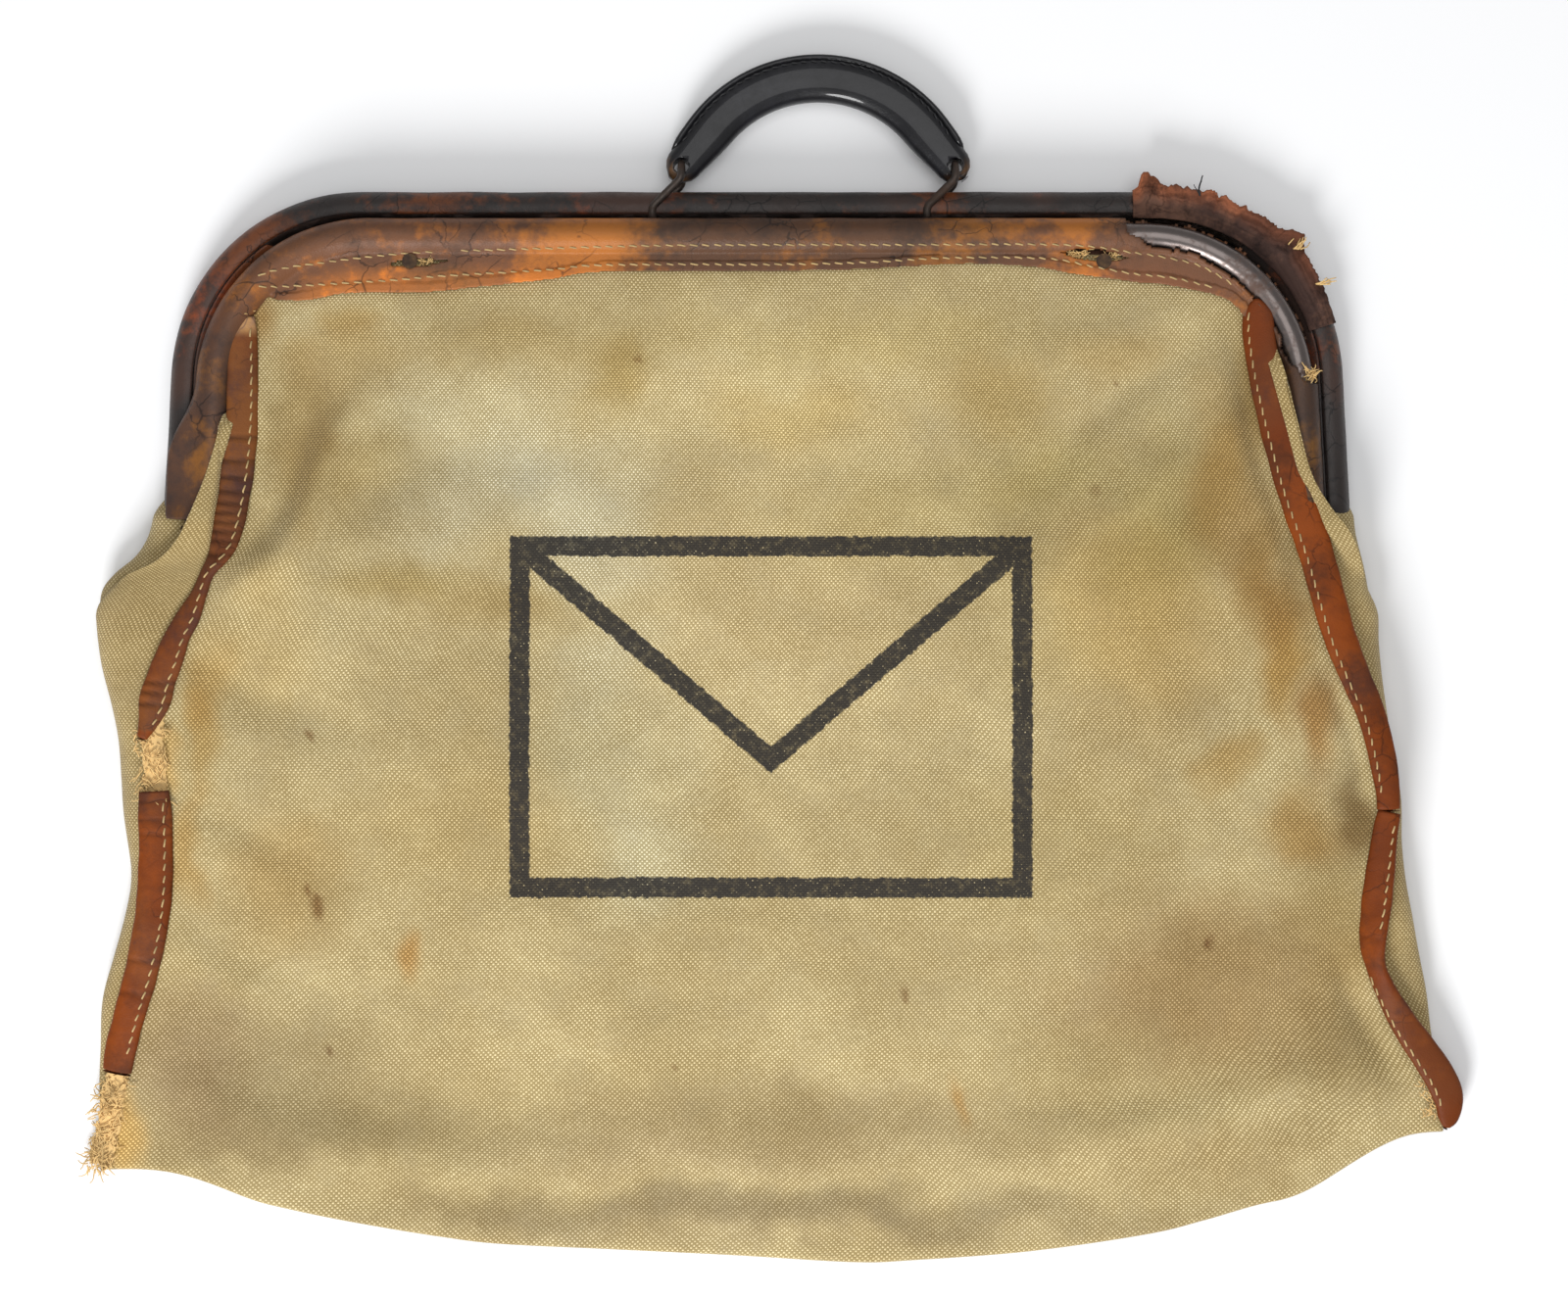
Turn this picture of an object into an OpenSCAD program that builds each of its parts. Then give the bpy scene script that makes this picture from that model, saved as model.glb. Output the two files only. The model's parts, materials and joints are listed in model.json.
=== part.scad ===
// Canvas mail sack with a leather-covered steel frame of two hinged jaws, lying on its back.
// X runs across the sack, Y from its bottom towards the handle, Z up from the surface it lies on.

/* [Frame] */
// Outside width of the rear jaw across its leather, at the hinges
frame_w = 508; // [460:1:580]
// Height of the frame from the hinge axis to the top of its leather
frame_h = 146; // [130:1:180]
// How far the front jaw sits inside the rear jaw, over the width of a tube
nest_room = 1.6; // [1.4:0.1:5]
// Distance between the jaws' centre planes, over the height of a tube
gap_room = 1; // [1:0.1:5]
// Centreline radius of the rear jaw's corners
rear_corner_r = 74; // [60:1:85]
// Centreline radius of the front jaw's corners
front_corner_r = 66; // [55:1:80]
// Outward lean of the jaw legs in degrees
leg_splay = 3; // [0:0.5:4]
// Outside radius of the steel jaw tube
tube_r = 5.5; // [5:0.1:6.5]
// Wall of the steel jaw tube
tube_wall = 1.2; // [0.8:0.1:2]
// Thickness of the leather around the jaws
leather_t = 1.85; // [1.4:0.05:2]
// Height of the rear tube's underside above the surface
rear_lift = 5; // [5:0.1:8.5]

/* [Hinge] */
// Thickness of one hinge plate
plate_t = 2.6; // [2:0.1:3]
// Radius of the hinge plate's eye
plate_r = 6.2; // [6:0.1:7]
// Radius of the hinge pin
pin_r = 2.2; // [1.8:0.1:3]
// Radius of the hinge pin's heads
pin_head_r = 4.2; // [3.6:0.1:5]
// Thickness of the washer between the plates
washer_t = 0.8; // [0.6:0.1:1.2]

/* [Leather skirts] */
// How far the front skirt hangs below the jaw's round leather at the middle
skirt_mid_drop = 7.4; // [6:0.1:15]
// How far the front skirt hangs below the jaw's round leather at its two ends
skirt_end_drop = 17.9; // [16:0.1:30]
// Depth of the rear skirt below the top of its leather
rear_skirt = 27; // [24:0.5:34]
// Thickness of each skirt layer
skirt_t = 1.8; // [1.2:0.1:2]
// Distance of the two skirt rivets from the middle
rivet_x = 147; // [120:1:160]
// Radius of a rivet's shank
rivet_r = 1.6; // [1.2:0.1:2]
// Radius of a rivet's heads
rivet_head_r = 3.2; // [2.6:0.1:4]

/* [Sack] */
// Distance from the hinge axis to the bottom fold at the middle
sack_h = 312; // [260:1:380]
// How far the bottom corners stay above the bottom fold's middle
bottom_rise = 50; // [30:1:60]
// Thickness of the canvas
canvas_t = 1.6; // [1:0.1:2]
// Height of the front panel's crown above the surface
crown_z = 38; // [34:1:50]
// How far below the hinge axis the lower front canvas starts, clear of the jaw's legs as they turn
hem_drop = 14; // [14:0.5:20]
// Width of the leather binding over the seams
binding_w = 13; // [10:0.5:15]
// Thickness of the leather binding on one side
binding_t = 2.4; // [1.6:0.1:3]

/* [Handle] */
// Distance between the two rings
ring_spacing = 117; // [100:1:130]
// How far the rings' middle is from the frame's middle
handle_x = 14; // [0:1:20]
// How far the handle has slid sideways on its rings
ring_lean = 12; // [8:0.5:14]
// Radius of the ring wire
ring_wire_r = 1.7; // [1.5:0.05:2]
// How much thinner the ring's straight sides are than its round ends
ring_taper = 0.1; // [0.05:0.05:0.2]
// Length of a ring between the centres of its two round ends
ring_len = 12.4; // [11.5:0.1:18]
// Rise of the grip's centreline above its eyes
grip_rise = 37.6; // [34:0.5:45]
// Slope of the grip's straight ends in degrees
grip_slope = 50; // [45:1:55]
// Width of the grip in its own plane
grip_w = 19; // [16:0.5:22]
// Thickness of the grip
grip_t = 14; // [12:0.5:14.5]
// Thickness of the grip's leather
grip_leather_t = 2.6; // [2:0.1:3]
// Thickness of the flattened grip ends
grip_end_t = 10.4; // [9:0.1:10.6]
// Radius of the grip's flattened ends
grip_end_r = 7; // [6:0.1:7]

/* [Fits] */
// Radial clearance of the hinge pin in its plates
pin_clear = 0.05; // [0.03:0.01:0.1]
// Clearance between leather and steel, and between stacked layers
fit = 0.2; // [0.15:0.05:0.3]
// Clearance of a ring around the steel tube
ring_clear = 0.4; // [0.3:0.1:0.8]
// How much slimmer straight pieces are than the bends they run into
hair = 0.02; // [0.01:0.01:0.03]

/* [Hidden] */
$fn = 64;

steel = "dimgray";
brown = "saddlebrown";
black = "#1c1c20";
cloth = "#c2a978";
brass = "#9a8455";

lap = 1;
jaw_nest = 2 * tube_r + nest_room;
jaw_gap = 2 * tube_r + gap_room;
rear_z = tube_r + rear_lift;
sleeve_in = tube_r + fit;
sleeve_r = sleeve_in + leather_t;

// The frame is centred so that the whole sack, with its grip, is centred on Y = 0.
bar_to_eye = ring_len + 6;
above_hinge = frame_h - sleeve_r + bar_to_eye + grip_rise + grip_w / 2;
hinge_y = (sack_h - above_hinge) / 2;
front_z = rear_z + jaw_gap;
hinge_z = rear_z + jaw_gap / 2;

rear_half = frame_w / 2 - sleeve_r;
rear_bar_y = hinge_y + frame_h - sleeve_r;
front_half = rear_half - jaw_nest;
front_bar_y = rear_bar_y - jaw_nest;

// The jaws' tubes end a little above the hinge plates' eyes.
leg_end = plate_r + 1.5;
leather_end = leg_end + 1.5;

// The hinge plates stand side by side with a washer between them, midway between the legs.
plate_x = rear_half - jaw_nest / 2;
plate_gap = washer_t + 2 * pin_clear;
rear_plate_x = plate_x + plate_gap / 2;
front_plate_x = plate_x - plate_gap / 2 - plate_t;
tang_l = 15;
tang_w = 2 * (tube_r - tube_wall) - 1;
web_l = leg_end - 2 * tube_r * sin(leg_splay) - fit;

// Stacked layers of the front and rear mouth edges.
front_canvas_z = front_z - canvas_t / 2;
rear_canvas_z = rear_z - canvas_t / 2;
rivet_y = front_bar_y - sleeve_r - rivet_head_r - fit;
front_skirt_mid = 2 * sleeve_r + skirt_mid_drop;
front_skirt_end = 2 * sleeve_r + skirt_end_drop;
front_skirt_r = (pow(skirt_half(), 2) + pow(front_skirt_end - front_skirt_mid, 2))
              / (2 * (front_skirt_end - front_skirt_mid));

// Where the rings and the grip are.
ring_r = tube_r + ring_clear + ring_wire_r;
ring_x = [handle_x - ring_spacing / 2, handle_x + ring_spacing / 2];
grip_drop = asin((rear_z - grip_t / 2 - 0.3) / (bar_to_eye + grip_rise));
eye_y = ring_len + ring_r - 1.6;
eye_r = ring_wire_r + 1.8;
grip_half = ring_spacing / 2;
grip_leg = grip_rise / tan(grip_slope / 2) - grip_half;
grip_arc_r = (grip_half - grip_leg * cos(grip_slope)) / sin(grip_slope);
grip_core_stop = grip_end_r + 3;

// Half-widths of the sack by the distance below the hinge axis, as shares of the corner's.
corner_y = hinge_y - sack_h + bottom_rise;
corner_x = rear_half + 42;
side_drop = hinge_y - corner_y;
hem_share = hem_drop / side_drop;
function below_hem(t) = hem_share + t * (1 - hem_share);
seam_knots = [0, 0.09, 0.25, 0.42, 0.72, 0.88, 1];
function seam_x(v) = corner_x * lookup(v, [[0, 0.785], [0.09, 0.818], [0.25, 0.867],
                                           [0.42, 0.907], [0.72, 0.925], [0.88, 0.958], [1, 1]]);
function bulge_x(v) = corner_x + lookup(v, [[0, -33], [0.1, -18], [0.25, -18], [0.55, -18],
                                            [0.74, -11], [0.88, -5], [1, 2]]);
// Heights of the front panel along its seams and along its middle.
low_z = 2 * canvas_t + fit + 0.4;
hem_z = front_canvas_z + canvas_t + fit + 2;
function edge_z(v) = lookup(v, [[0, hem_z], [0.2, hem_z + 2], [0.6, hem_z], [0.85, 17], [1, low_z]]);
function mid_z(v) = lookup(v, [[0, hem_z], [0.1, hem_z + 4], [0.25, crown_z - 3], [0.45, crown_z],
                               [0.7, crown_z - 3], [0.88, crown_z * 0.6], [1, low_z]]);

// Where the top bar ends and a corner begins, and the height where that corner ends.
function bend_y(bar_y, r) = bar_y - r + r * sin(leg_splay);
function bend_x(half, bar_y, r) =
    half - r * cos(leg_splay) - (bend_y(bar_y, r) - hinge_y) * tan(leg_splay);
function skirt_half() = rear_half - jaw_nest - front_corner_r + front_corner_r * 0.72;
function grid_row(n) = [for (i = [0:n]) 2 * i / n - 1];

// A closed solid between two grids of points, both given as rows of equal length.
module shell(outer, inner) {
    rows = len(outer);
    cols = len(outer[0]);
    count = rows * cols;
    points = concat([for (row = outer) each row], [for (row = inner) each row]);
    function at(r, c) = r * cols + c;
    function two(a, b, c, d) = [[a, b, c], [a, c, d]];
    faces = concat(
        [for (r = [0:rows - 2], c = [0:cols - 2])
            each two(at(r, c), at(r, c + 1), at(r + 1, c + 1), at(r + 1, c))],
        [for (r = [0:rows - 2], c = [0:cols - 2])
            each two(count + at(r + 1, c), count + at(r + 1, c + 1),
                     count + at(r, c + 1), count + at(r, c))],
        [for (c = [0:cols - 2])
            each two(at(0, c + 1), at(0, c), count + at(0, c), count + at(0, c + 1))],
        [for (c = [0:cols - 2])
            each two(at(rows - 1, c), at(rows - 1, c + 1),
                     count + at(rows - 1, c + 1), count + at(rows - 1, c))],
        [for (r = [0:rows - 2])
            each two(at(r + 1, cols - 1), at(r, cols - 1),
                     count + at(r, cols - 1), count + at(r + 1, cols - 1))],
        [for (r = [0:rows - 2])
            each two(at(r, 0), at(r + 1, 0), count + at(r + 1, 0), count + at(r, 0))]);
    polyhedron(points, faces, convexity = 6);
}

// Sweeps a round bar along a jaw: two splayed legs, two round corners and the top bar.
// The straight pieces run a little way into the bends and are a hair slimmer than them.
module jaw_sweep(half, bar_y, corner_r, z, end, r) {
    arc_x = bend_x(half, bar_y, corner_r);
    leg_l = (bend_y(bar_y, corner_r) - hinge_y - end) / cos(leg_splay);
    translate([0, 0, z]) {
        translate([-arc_x - lap, bar_y, 0])
            rotate([0, 90, 0])
                cylinder(h = 2 * (arc_x + lap), r = r - hair);
        for (side = [0, 1])
            mirror([side, 0, 0])
                translate([arc_x, bar_y - corner_r, 0])
                    rotate([0, 0, leg_splay]) {
                        rotate_extrude(angle = 90 - leg_splay)
                            translate([corner_r, 0])
                                circle(r);
                        translate([corner_r, lap, 0])
                            rotate([90, 0, 0])
                                cylinder(h = leg_l + lap, r = r - hair);
                    }
    }
}

module jaw_pipe(half, bar_y, corner_r, z, end, outer_r, inner_r) {
    difference() {
        jaw_sweep(half, bar_y, corner_r, z, end, outer_r);
        jaw_sweep(half, bar_y, corner_r, z, end - 2, inner_r);
    }
}

module jaw_tube(half, bar_y, corner_r, z) {
    jaw_pipe(half, bar_y, corner_r, z, leg_end, tube_r, tube_r - tube_wall);
}

module jaw_sleeve(half, bar_y, corner_r, z) {
    jaw_pipe(half, bar_y, corner_r, z, leather_end, sleeve_r, sleeve_in);
}

// Plan of the space inside a jaw, inset from its centreline, above its corners' centres.
module jaw_inside(half, bar_y, corner_r, inset) {
    arc_x = bend_x(half, bar_y, corner_r);
    intersection() {
        union() {
            for (side = [-1, 1])
                translate([side * arc_x, bar_y - corner_r])
                    circle(corner_r - inset);
            translate([-arc_x, bar_y - corner_r])
                square([2 * arc_x, corner_r - inset]);
        }
        translate([-half, bar_y - corner_r * 0.8])
            square([2 * half, corner_r]);
    }
}

module front_skirt_plan() {
    top_y = front_bar_y + sleeve_r;
    difference() {
        jaw_inside(front_half, front_bar_y, front_corner_r, sleeve_in + 0.4);
        translate([0, top_y - front_skirt_mid - front_skirt_r])
            circle(front_skirt_r, $fn = 360);
    }
}

module rear_skirt_plan() {
    intersection() {
        jaw_inside(rear_half, rear_bar_y, rear_corner_r, sleeve_in + 0.4);
        translate([-rear_half, rear_bar_y + sleeve_r - rear_skirt])
            square([2 * rear_half, rear_skirt]);
    }
}

module rear_jaw() {
    color(steel)
        jaw_tube(rear_half, rear_bar_y, rear_corner_r, rear_z);
}

module front_jaw() {
    color(steel)
        jaw_tube(front_half, front_bar_y, front_corner_r, front_z);
}

// One hinge plate: an eye on the hinge axis, a web beside it and a tang inside the tube's end.
module hinge_plate(x, leg_x, leg_z) {
    web_low = min(hinge_z, leg_z) - tang_w / 2;
    web_high = max(hinge_z, leg_z) + tang_w / 2;
    difference() {
        union() {
            translate([x, hinge_y, hinge_z])
                rotate([0, 90, 0])
                    cylinder(h = plate_t, r = plate_r);
            translate([x, hinge_y, web_low])
                cube([plate_t, web_l, web_high - web_low]);
            intersection() {
                translate([x, hinge_y + web_l - lap, leg_z - tang_w / 2])
                    cube([plate_t, tang_l, tang_w]);
                translate([leg_x, hinge_y, leg_z])
                    rotate([0, 0, leg_splay])
                        rotate([-90, 0, 0])
                            cylinder(h = 2 * tang_l, r = tube_r - tube_wall - fit);
            }
        }
        translate([x - 1, hinge_y, hinge_z])
            rotate([0, 90, 0])
                cylinder(h = plate_t + 2, r = pin_r + pin_clear);
    }
}

module both_sides() {
    for (side = [0, 1])
        mirror([side, 0, 0])
            children();
}

module rear_hinge_plates() {
    color(steel)
        both_sides()
            hinge_plate(rear_plate_x, rear_half, rear_z);
}

module front_hinge_plates() {
    color(steel)
        both_sides()
            hinge_plate(front_plate_x, front_half, front_z);
}

module hinge_pins() {
    head_t = 1.6;
    shank_l = 2 * plate_t + plate_gap + 2 * pin_clear;
    color(steel)
        both_sides()
            translate([plate_x - shank_l / 2, hinge_y, hinge_z])
                rotate([0, 90, 0]) {
                    cylinder(h = shank_l, r = pin_r);
                    translate([0, 0, -head_t])
                        cylinder(h = head_t, r = pin_head_r);
                    translate([0, 0, shank_l])
                        cylinder(h = head_t, r = pin_head_r);
                }
}

module hinge_washers() {
    color(steel)
        both_sides()
            translate([plate_x - washer_t / 2, hinge_y, hinge_z])
                rotate([0, 90, 0])
                    difference() {
                        cylinder(h = washer_t, r = plate_r - 0.8);
                        translate([0, 0, -1])
                            cylinder(h = washer_t + 2, r = pin_r + 2 * pin_clear);
                    }
}

// The rear jaw's leather is cut away where the rings go round the tube.
module rear_jaw_leather() {
    notch_r = ring_r + ring_wire_r + 0.5;
    notch_l = 12.5;
    color(brown)
        difference() {
            union() {
                jaw_sleeve(rear_half, rear_bar_y, rear_corner_r, rear_z);
                translate([0, 0, rear_canvas_z - fit - skirt_t])
                    linear_extrude(skirt_t)
                        rear_skirt_plan();
                translate([0, 0, rear_canvas_z + canvas_t + fit])
                    linear_extrude(skirt_t)
                        rear_skirt_plan();
            }
            for (x = ring_x)
                translate([x - ring_wire_r - 0.8, rear_bar_y, rear_z])
                    rotate([0, 90, 0])
                        cylinder(h = notch_l, r = notch_r);
        }
}

module front_jaw_leather() {
    color(brown)
        difference() {
            union() {
                jaw_sleeve(front_half, front_bar_y, front_corner_r, front_z);
                translate([0, 0, front_canvas_z - fit - skirt_t])
                    linear_extrude(skirt_t)
                        front_skirt_plan();
                translate([0, 0, front_canvas_z + canvas_t + fit])
                    linear_extrude(skirt_t)
                        front_skirt_plan();
            }
            rivet_holes();
        }
}

module rivet_holes() {
    for (x = [-rivet_x, rivet_x])
        translate([x, rivet_y, front_canvas_z - 4])
            cylinder(h = 12, r = rivet_r + fit);
}

module skirt_rivets() {
    head_t = 0.9;
    head_gap = 0.1;
    shank_low = front_canvas_z - fit - skirt_t - head_gap;
    shank_l = canvas_t + 2 * (fit + skirt_t + head_gap);
    color(brass)
        for (x = [-rivet_x, rivet_x])
            translate([x, rivet_y, shank_low]) {
                cylinder(h = shank_l, r = rivet_r);
                for (z = [-head_t, shank_l])
                    translate([0, 0, z])
                        cylinder(h = head_t, r = rivet_head_r);
            }
}

// Upper front canvas, which moves with the front jaw.
module front_panel_top() {
    top_y = front_bar_y - sleeve_r - 1;
    low_y = hinge_y - hem_drop + 2;
    low_half = front_half - sleeve_r;
    top_half = low_half - 10;
    color(cloth)
        difference() {
            translate([0, 0, front_canvas_z])
                linear_extrude(canvas_t)
                    intersection() {
                        polygon([[-low_half, low_y], [low_half, low_y],
                                 [top_half, top_y], [-top_half, top_y]]);
                        union() {
                            jaw_inside(front_half, front_bar_y, front_corner_r, sleeve_r + 1);
                            translate([-rear_half, 0])
                                square([2 * rear_half, front_bar_y - front_corner_r * 0.78]);
                        }
                    }
            rivet_holes();
        }
}

// Lower front canvas: a shallow dome that comes down to the bottom fold.
module front_panel() {
    rows = 12;
    cols = 10;
    function row_z(u, v) = mid_z(v) + (edge_z(v) - mid_z(v)) * u * u;
    function row_y(u, v, t) = hinge_y - v * side_drop - t * (1 - u * u) * bottom_rise;
    top = [for (i = [0:rows]) let (t = i / rows, v = below_hem(t))
              [for (u = grid_row(cols)) [u * seam_x(v), row_y(u, v, t), row_z(u, v)]]];
    under = [for (row = top) [for (p = row) [p[0], p[1], p[2] - canvas_t]]];
    color(cloth)
        shell(top, under);
}

// Plan of the back canvas: straight beside the jaw, the seams' curve below, an arc at the bottom.
module back_plan() {
    low_r = (pow(corner_x, 2) + pow(bottom_rise, 2)) / (2 * bottom_rise);
    low_y = hinge_y - sack_h;
    side_x = rear_half - sleeve_r - 8;
    side = concat([[side_x, rear_bar_y], [side_x, hinge_y + 10]],
                  [for (v = seam_knots) [seam_x(v) - 2, hinge_y - v * side_drop]],
                  [[corner_x - 2, low_y - 1]]);
    left_side = [for (i = [len(side) - 1:-1:0]) [-side[i][0], side[i][1]]];
    intersection() {
        polygon(concat(side, left_side));
        union() {
            translate([0, low_y + low_r])
                circle(low_r, $fn = 360);
            translate([-corner_x, corner_y])
                square([2 * corner_x, rear_bar_y - corner_y]);
        }
    }
}

// What the rear jaw's round corners leave outside the back canvas.
module back_corners() {
    arc_x = bend_x(rear_half, rear_bar_y, rear_corner_r);
    for (side = [0, 1])
        mirror([side, 0, 0])
            translate([arc_x, rear_bar_y - rear_corner_r, -1])
                linear_extrude(rear_z + canvas_t + 2)
                    difference() {
                        square(rear_corner_r);
                        circle(rear_corner_r - sleeve_r - 2);
                    }
}

// Back canvas: flat on the surface, and stepped up into the rear skirt.
module back_panel() {
    lift_y = rear_bar_y + sleeve_r - rear_skirt - 2;
    slope_l = 30;
    top_y = rear_bar_y - ring_r - ring_wire_r - 1;
    color(cloth)
        difference() {
            intersection() {
                translate([-corner_x, 0, 0])
                    rotate([90, 0, 90])
                        linear_extrude(2 * corner_x)
                            polygon([[-sack_h, 0], [lift_y - slope_l, 0],
                                     [lift_y, rear_canvas_z], [top_y, rear_canvas_z],
                                     [top_y, rear_canvas_z + canvas_t],
                                     [lift_y, rear_canvas_z + canvas_t],
                                     [lift_y - slope_l, canvas_t], [-sack_h, canvas_t]]);
                translate([0, 0, -1])
                    linear_extrude(rear_canvas_z + canvas_t + 2)
                        back_plan();
            }
            back_corners();
        }
}

// Side canvas: a C-shaped shell from the front seam round to the back seam.
module gusset() {
    rows = 10;
    cols = 8;
    top_v = hem_share;
    low_v = 0.94;
    under = binding_t + fit;
    function section(v, inset) =
        let (high = edge_z(v) - canvas_t - fit - 0.8,
             mid = (high + under) / 2,
             rise = (high - under) / 2 - inset,
             reach = max(bulge_x(v) - seam_x(v), 5) - inset)
        [for (u = grid_row(cols))
            [seam_x(v) + reach * cos(90 * u), hinge_y - v * side_drop, mid - rise * sin(90 * u)]];
    stations = [for (i = [0:rows]) top_v + (low_v - top_v) * i / rows];
    color(cloth)
        shell([for (v = stations) section(v, 0)], [for (v = stations) section(v, canvas_t)]);
}

// The gusset's upper end, folded flat between the jaws' legs.
module gusset_fold() {
    fold_x = rear_half - sleeve_r - 5.5 - canvas_t;
    color(cloth)
        translate([fold_x, hinge_y + leather_end, canvas_t + fit])
            cube([canvas_t, frame_h - rear_corner_r - leather_end - sleeve_r, rear_z - 2]);
}

// Leather over the front seam, on the part of the canvas that moves with the front jaw.
module front_binding_top() {
    low = front_half - sleeve_r - 1.5;
    low_drop = 4;
    high_y = front_bar_y - front_corner_r + 18;
    color(brown)
        translate([0, 0, front_canvas_z + canvas_t + fit])
            linear_extrude(binding_t)
                polygon([[low - binding_w, hinge_y - low_drop], [low, hinge_y - low_drop],
                         [low - 6, high_y], [low - 6 - binding_w, high_y]]);
}

// Leather over a seam below the hinges: a strip that follows the seam line.
module binding(z_of) {
    rows = 10;
    inside = 8;
    low_v = 0.97;
    function strip(v, dz) =
        [for (x = [-inside, binding_w - inside])
            [seam_x(v) + x, hinge_y - v * side_drop, z_of(v) + dz]];
    stations = [for (i = [0:rows]) hem_share + (low_v - hem_share) * i / rows];
    color(brown)
        shell([for (v = stations) strip(v, binding_t)], [for (v = stations) strip(v, 0)]);
}

module front_binding() {
    slope_room = 2.2;
    binding(function(v) edge_z(v) + fit + slope_room);
}

module back_binding() {
    rows = 10;
    low_v = 0.97;
    function strip(v, dz) =
        [for (x = [-0.5, binding_w - 4])
            [seam_x(v) + x, hinge_y - v * side_drop, dz]];
    stations = [for (i = [0:rows]) 0.03 + (low_v - 0.03) * i / rows];
    color(brown)
        shell([for (v = stations) strip(v, binding_t)], [for (v = stations) strip(v, 0)]);
}

// One side of a ring: a straight piece of wire that runs a little way into each round end.
module ring_branch() {
    lean_a = atan2(ring_lean, ring_len);
    apart = norm([ring_lean, ring_len]);
    rotate([0, 0, -lean_a])
        translate([0, -lap, 0])
            rotate([-90, 0, 0])
                cylinder(h = apart + 2 * lap, r = ring_wire_r - ring_taper);
}

module half_ring(turn) {
    rotate([0, 90, 0])
        rotate([0, 0, turn])
            rotate_extrude(angle = 180)
                translate([ring_r, 0])
                    circle(ring_wire_r);
}

// A bent wire ring round the rear jaw's tube and through the eye of the grip.
module ring(x) {
    color(steel)
        translate([x, rear_bar_y, rear_z])
            rotate([-grip_drop, 0, 0]) {
                half_ring(180);
                for (z = [-ring_r, ring_r])
                    translate([0, 0, z])
                        ring_branch();
                translate([ring_lean, ring_len, 0])
                    half_ring(0);
            }
}

module stadium(w, t) {
    square([w - t, t], center = true);
    for (side = [-1, 1])
        translate([side * (w - t) / 2, 0])
            circle(t / 2);
}

// Sweeps a section along the grip: a round arch with a straight piece at each end.
module grip_sweep(straight_l) {
    arch_y = grip_rise - grip_arc_r;
    translate([0, arch_y, 0])
        rotate([0, 0, 90 - grip_slope])
            rotate_extrude(angle = 2 * grip_slope)
                translate([grip_arc_r, 0])
                    children();
    for (side = [0, 1])
        mirror([side, 0, 0])
            translate([0, arch_y, 0])
                rotate([0, 0, 90 - grip_slope])
                    translate([grip_arc_r, 0, 0])
                        rotate([90, 0, 0])
                            linear_extrude(straight_l)
                                children();
}

module grip_place() {
    translate([handle_x + ring_lean, rear_bar_y, rear_z])
        rotate([-grip_drop, 0, 0])
            translate([0, eye_y, 0])
                children();
}

module grip_core() {
    color("peru")
        grip_place()
            grip_sweep(grip_leg - grip_core_stop)
                stadium(grip_w - 2 * grip_leather_t - fit, grip_t - 2 * grip_leather_t - fit);
}

// The leather meets in a seam round the outside of the arch.
module grip_leather() {
    seam_gap = 0.5;
    color(black)
        grip_place()
            difference() {
                union() {
                    difference() {
                        grip_sweep(grip_leg - grip_end_r + 1)
                            stadium(grip_w, grip_t);
                        grip_sweep(grip_leg - grip_core_stop + 0.3)
                            stadium(grip_w - 2 * grip_leather_t, grip_t - 2 * grip_leather_t);
                        grip_sweep(grip_leg - grip_core_stop)
                            translate([grip_w / 4, -seam_gap / 2])
                                square([grip_w, seam_gap]);
                    }
                    for (side = [-1, 1])
                        translate([side * grip_half, 0, -grip_end_t / 2])
                            cylinder(h = grip_end_t, r = grip_end_r);
                }
                for (side = [-1, 1])
                    translate([side * grip_half, 0, -grip_t])
                        cylinder(h = 2 * grip_t, r = eye_r);
            }
}

rear_jaw();
front_jaw();
rear_hinge_plates();
front_hinge_plates();
hinge_pins();
hinge_washers();
rear_jaw_leather();
front_jaw_leather();
skirt_rivets();
front_panel_top();
front_panel();
back_panel();
mirror([1, 0, 0]) gusset();  // left_gusset
gusset();  // right_gusset
mirror([1, 0, 0]) gusset_fold();  // left_gusset_fold
gusset_fold();  // right_gusset_fold
mirror([1, 0, 0]) front_binding_top();  // left_front_binding_top
front_binding_top();  // right_front_binding_top
mirror([1, 0, 0]) front_binding();  // left_front_binding
front_binding();  // right_front_binding
mirror([1, 0, 0]) back_binding();  // left_back_binding
back_binding();  // right_back_binding
ring(ring_x[0]);  // left_ring
ring(ring_x[1]);  // right_ring
grip_core();
grip_leather();
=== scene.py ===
import json
import math
import random

import bmesh
import bpy
import numpy as np
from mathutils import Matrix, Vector, noise


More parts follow.
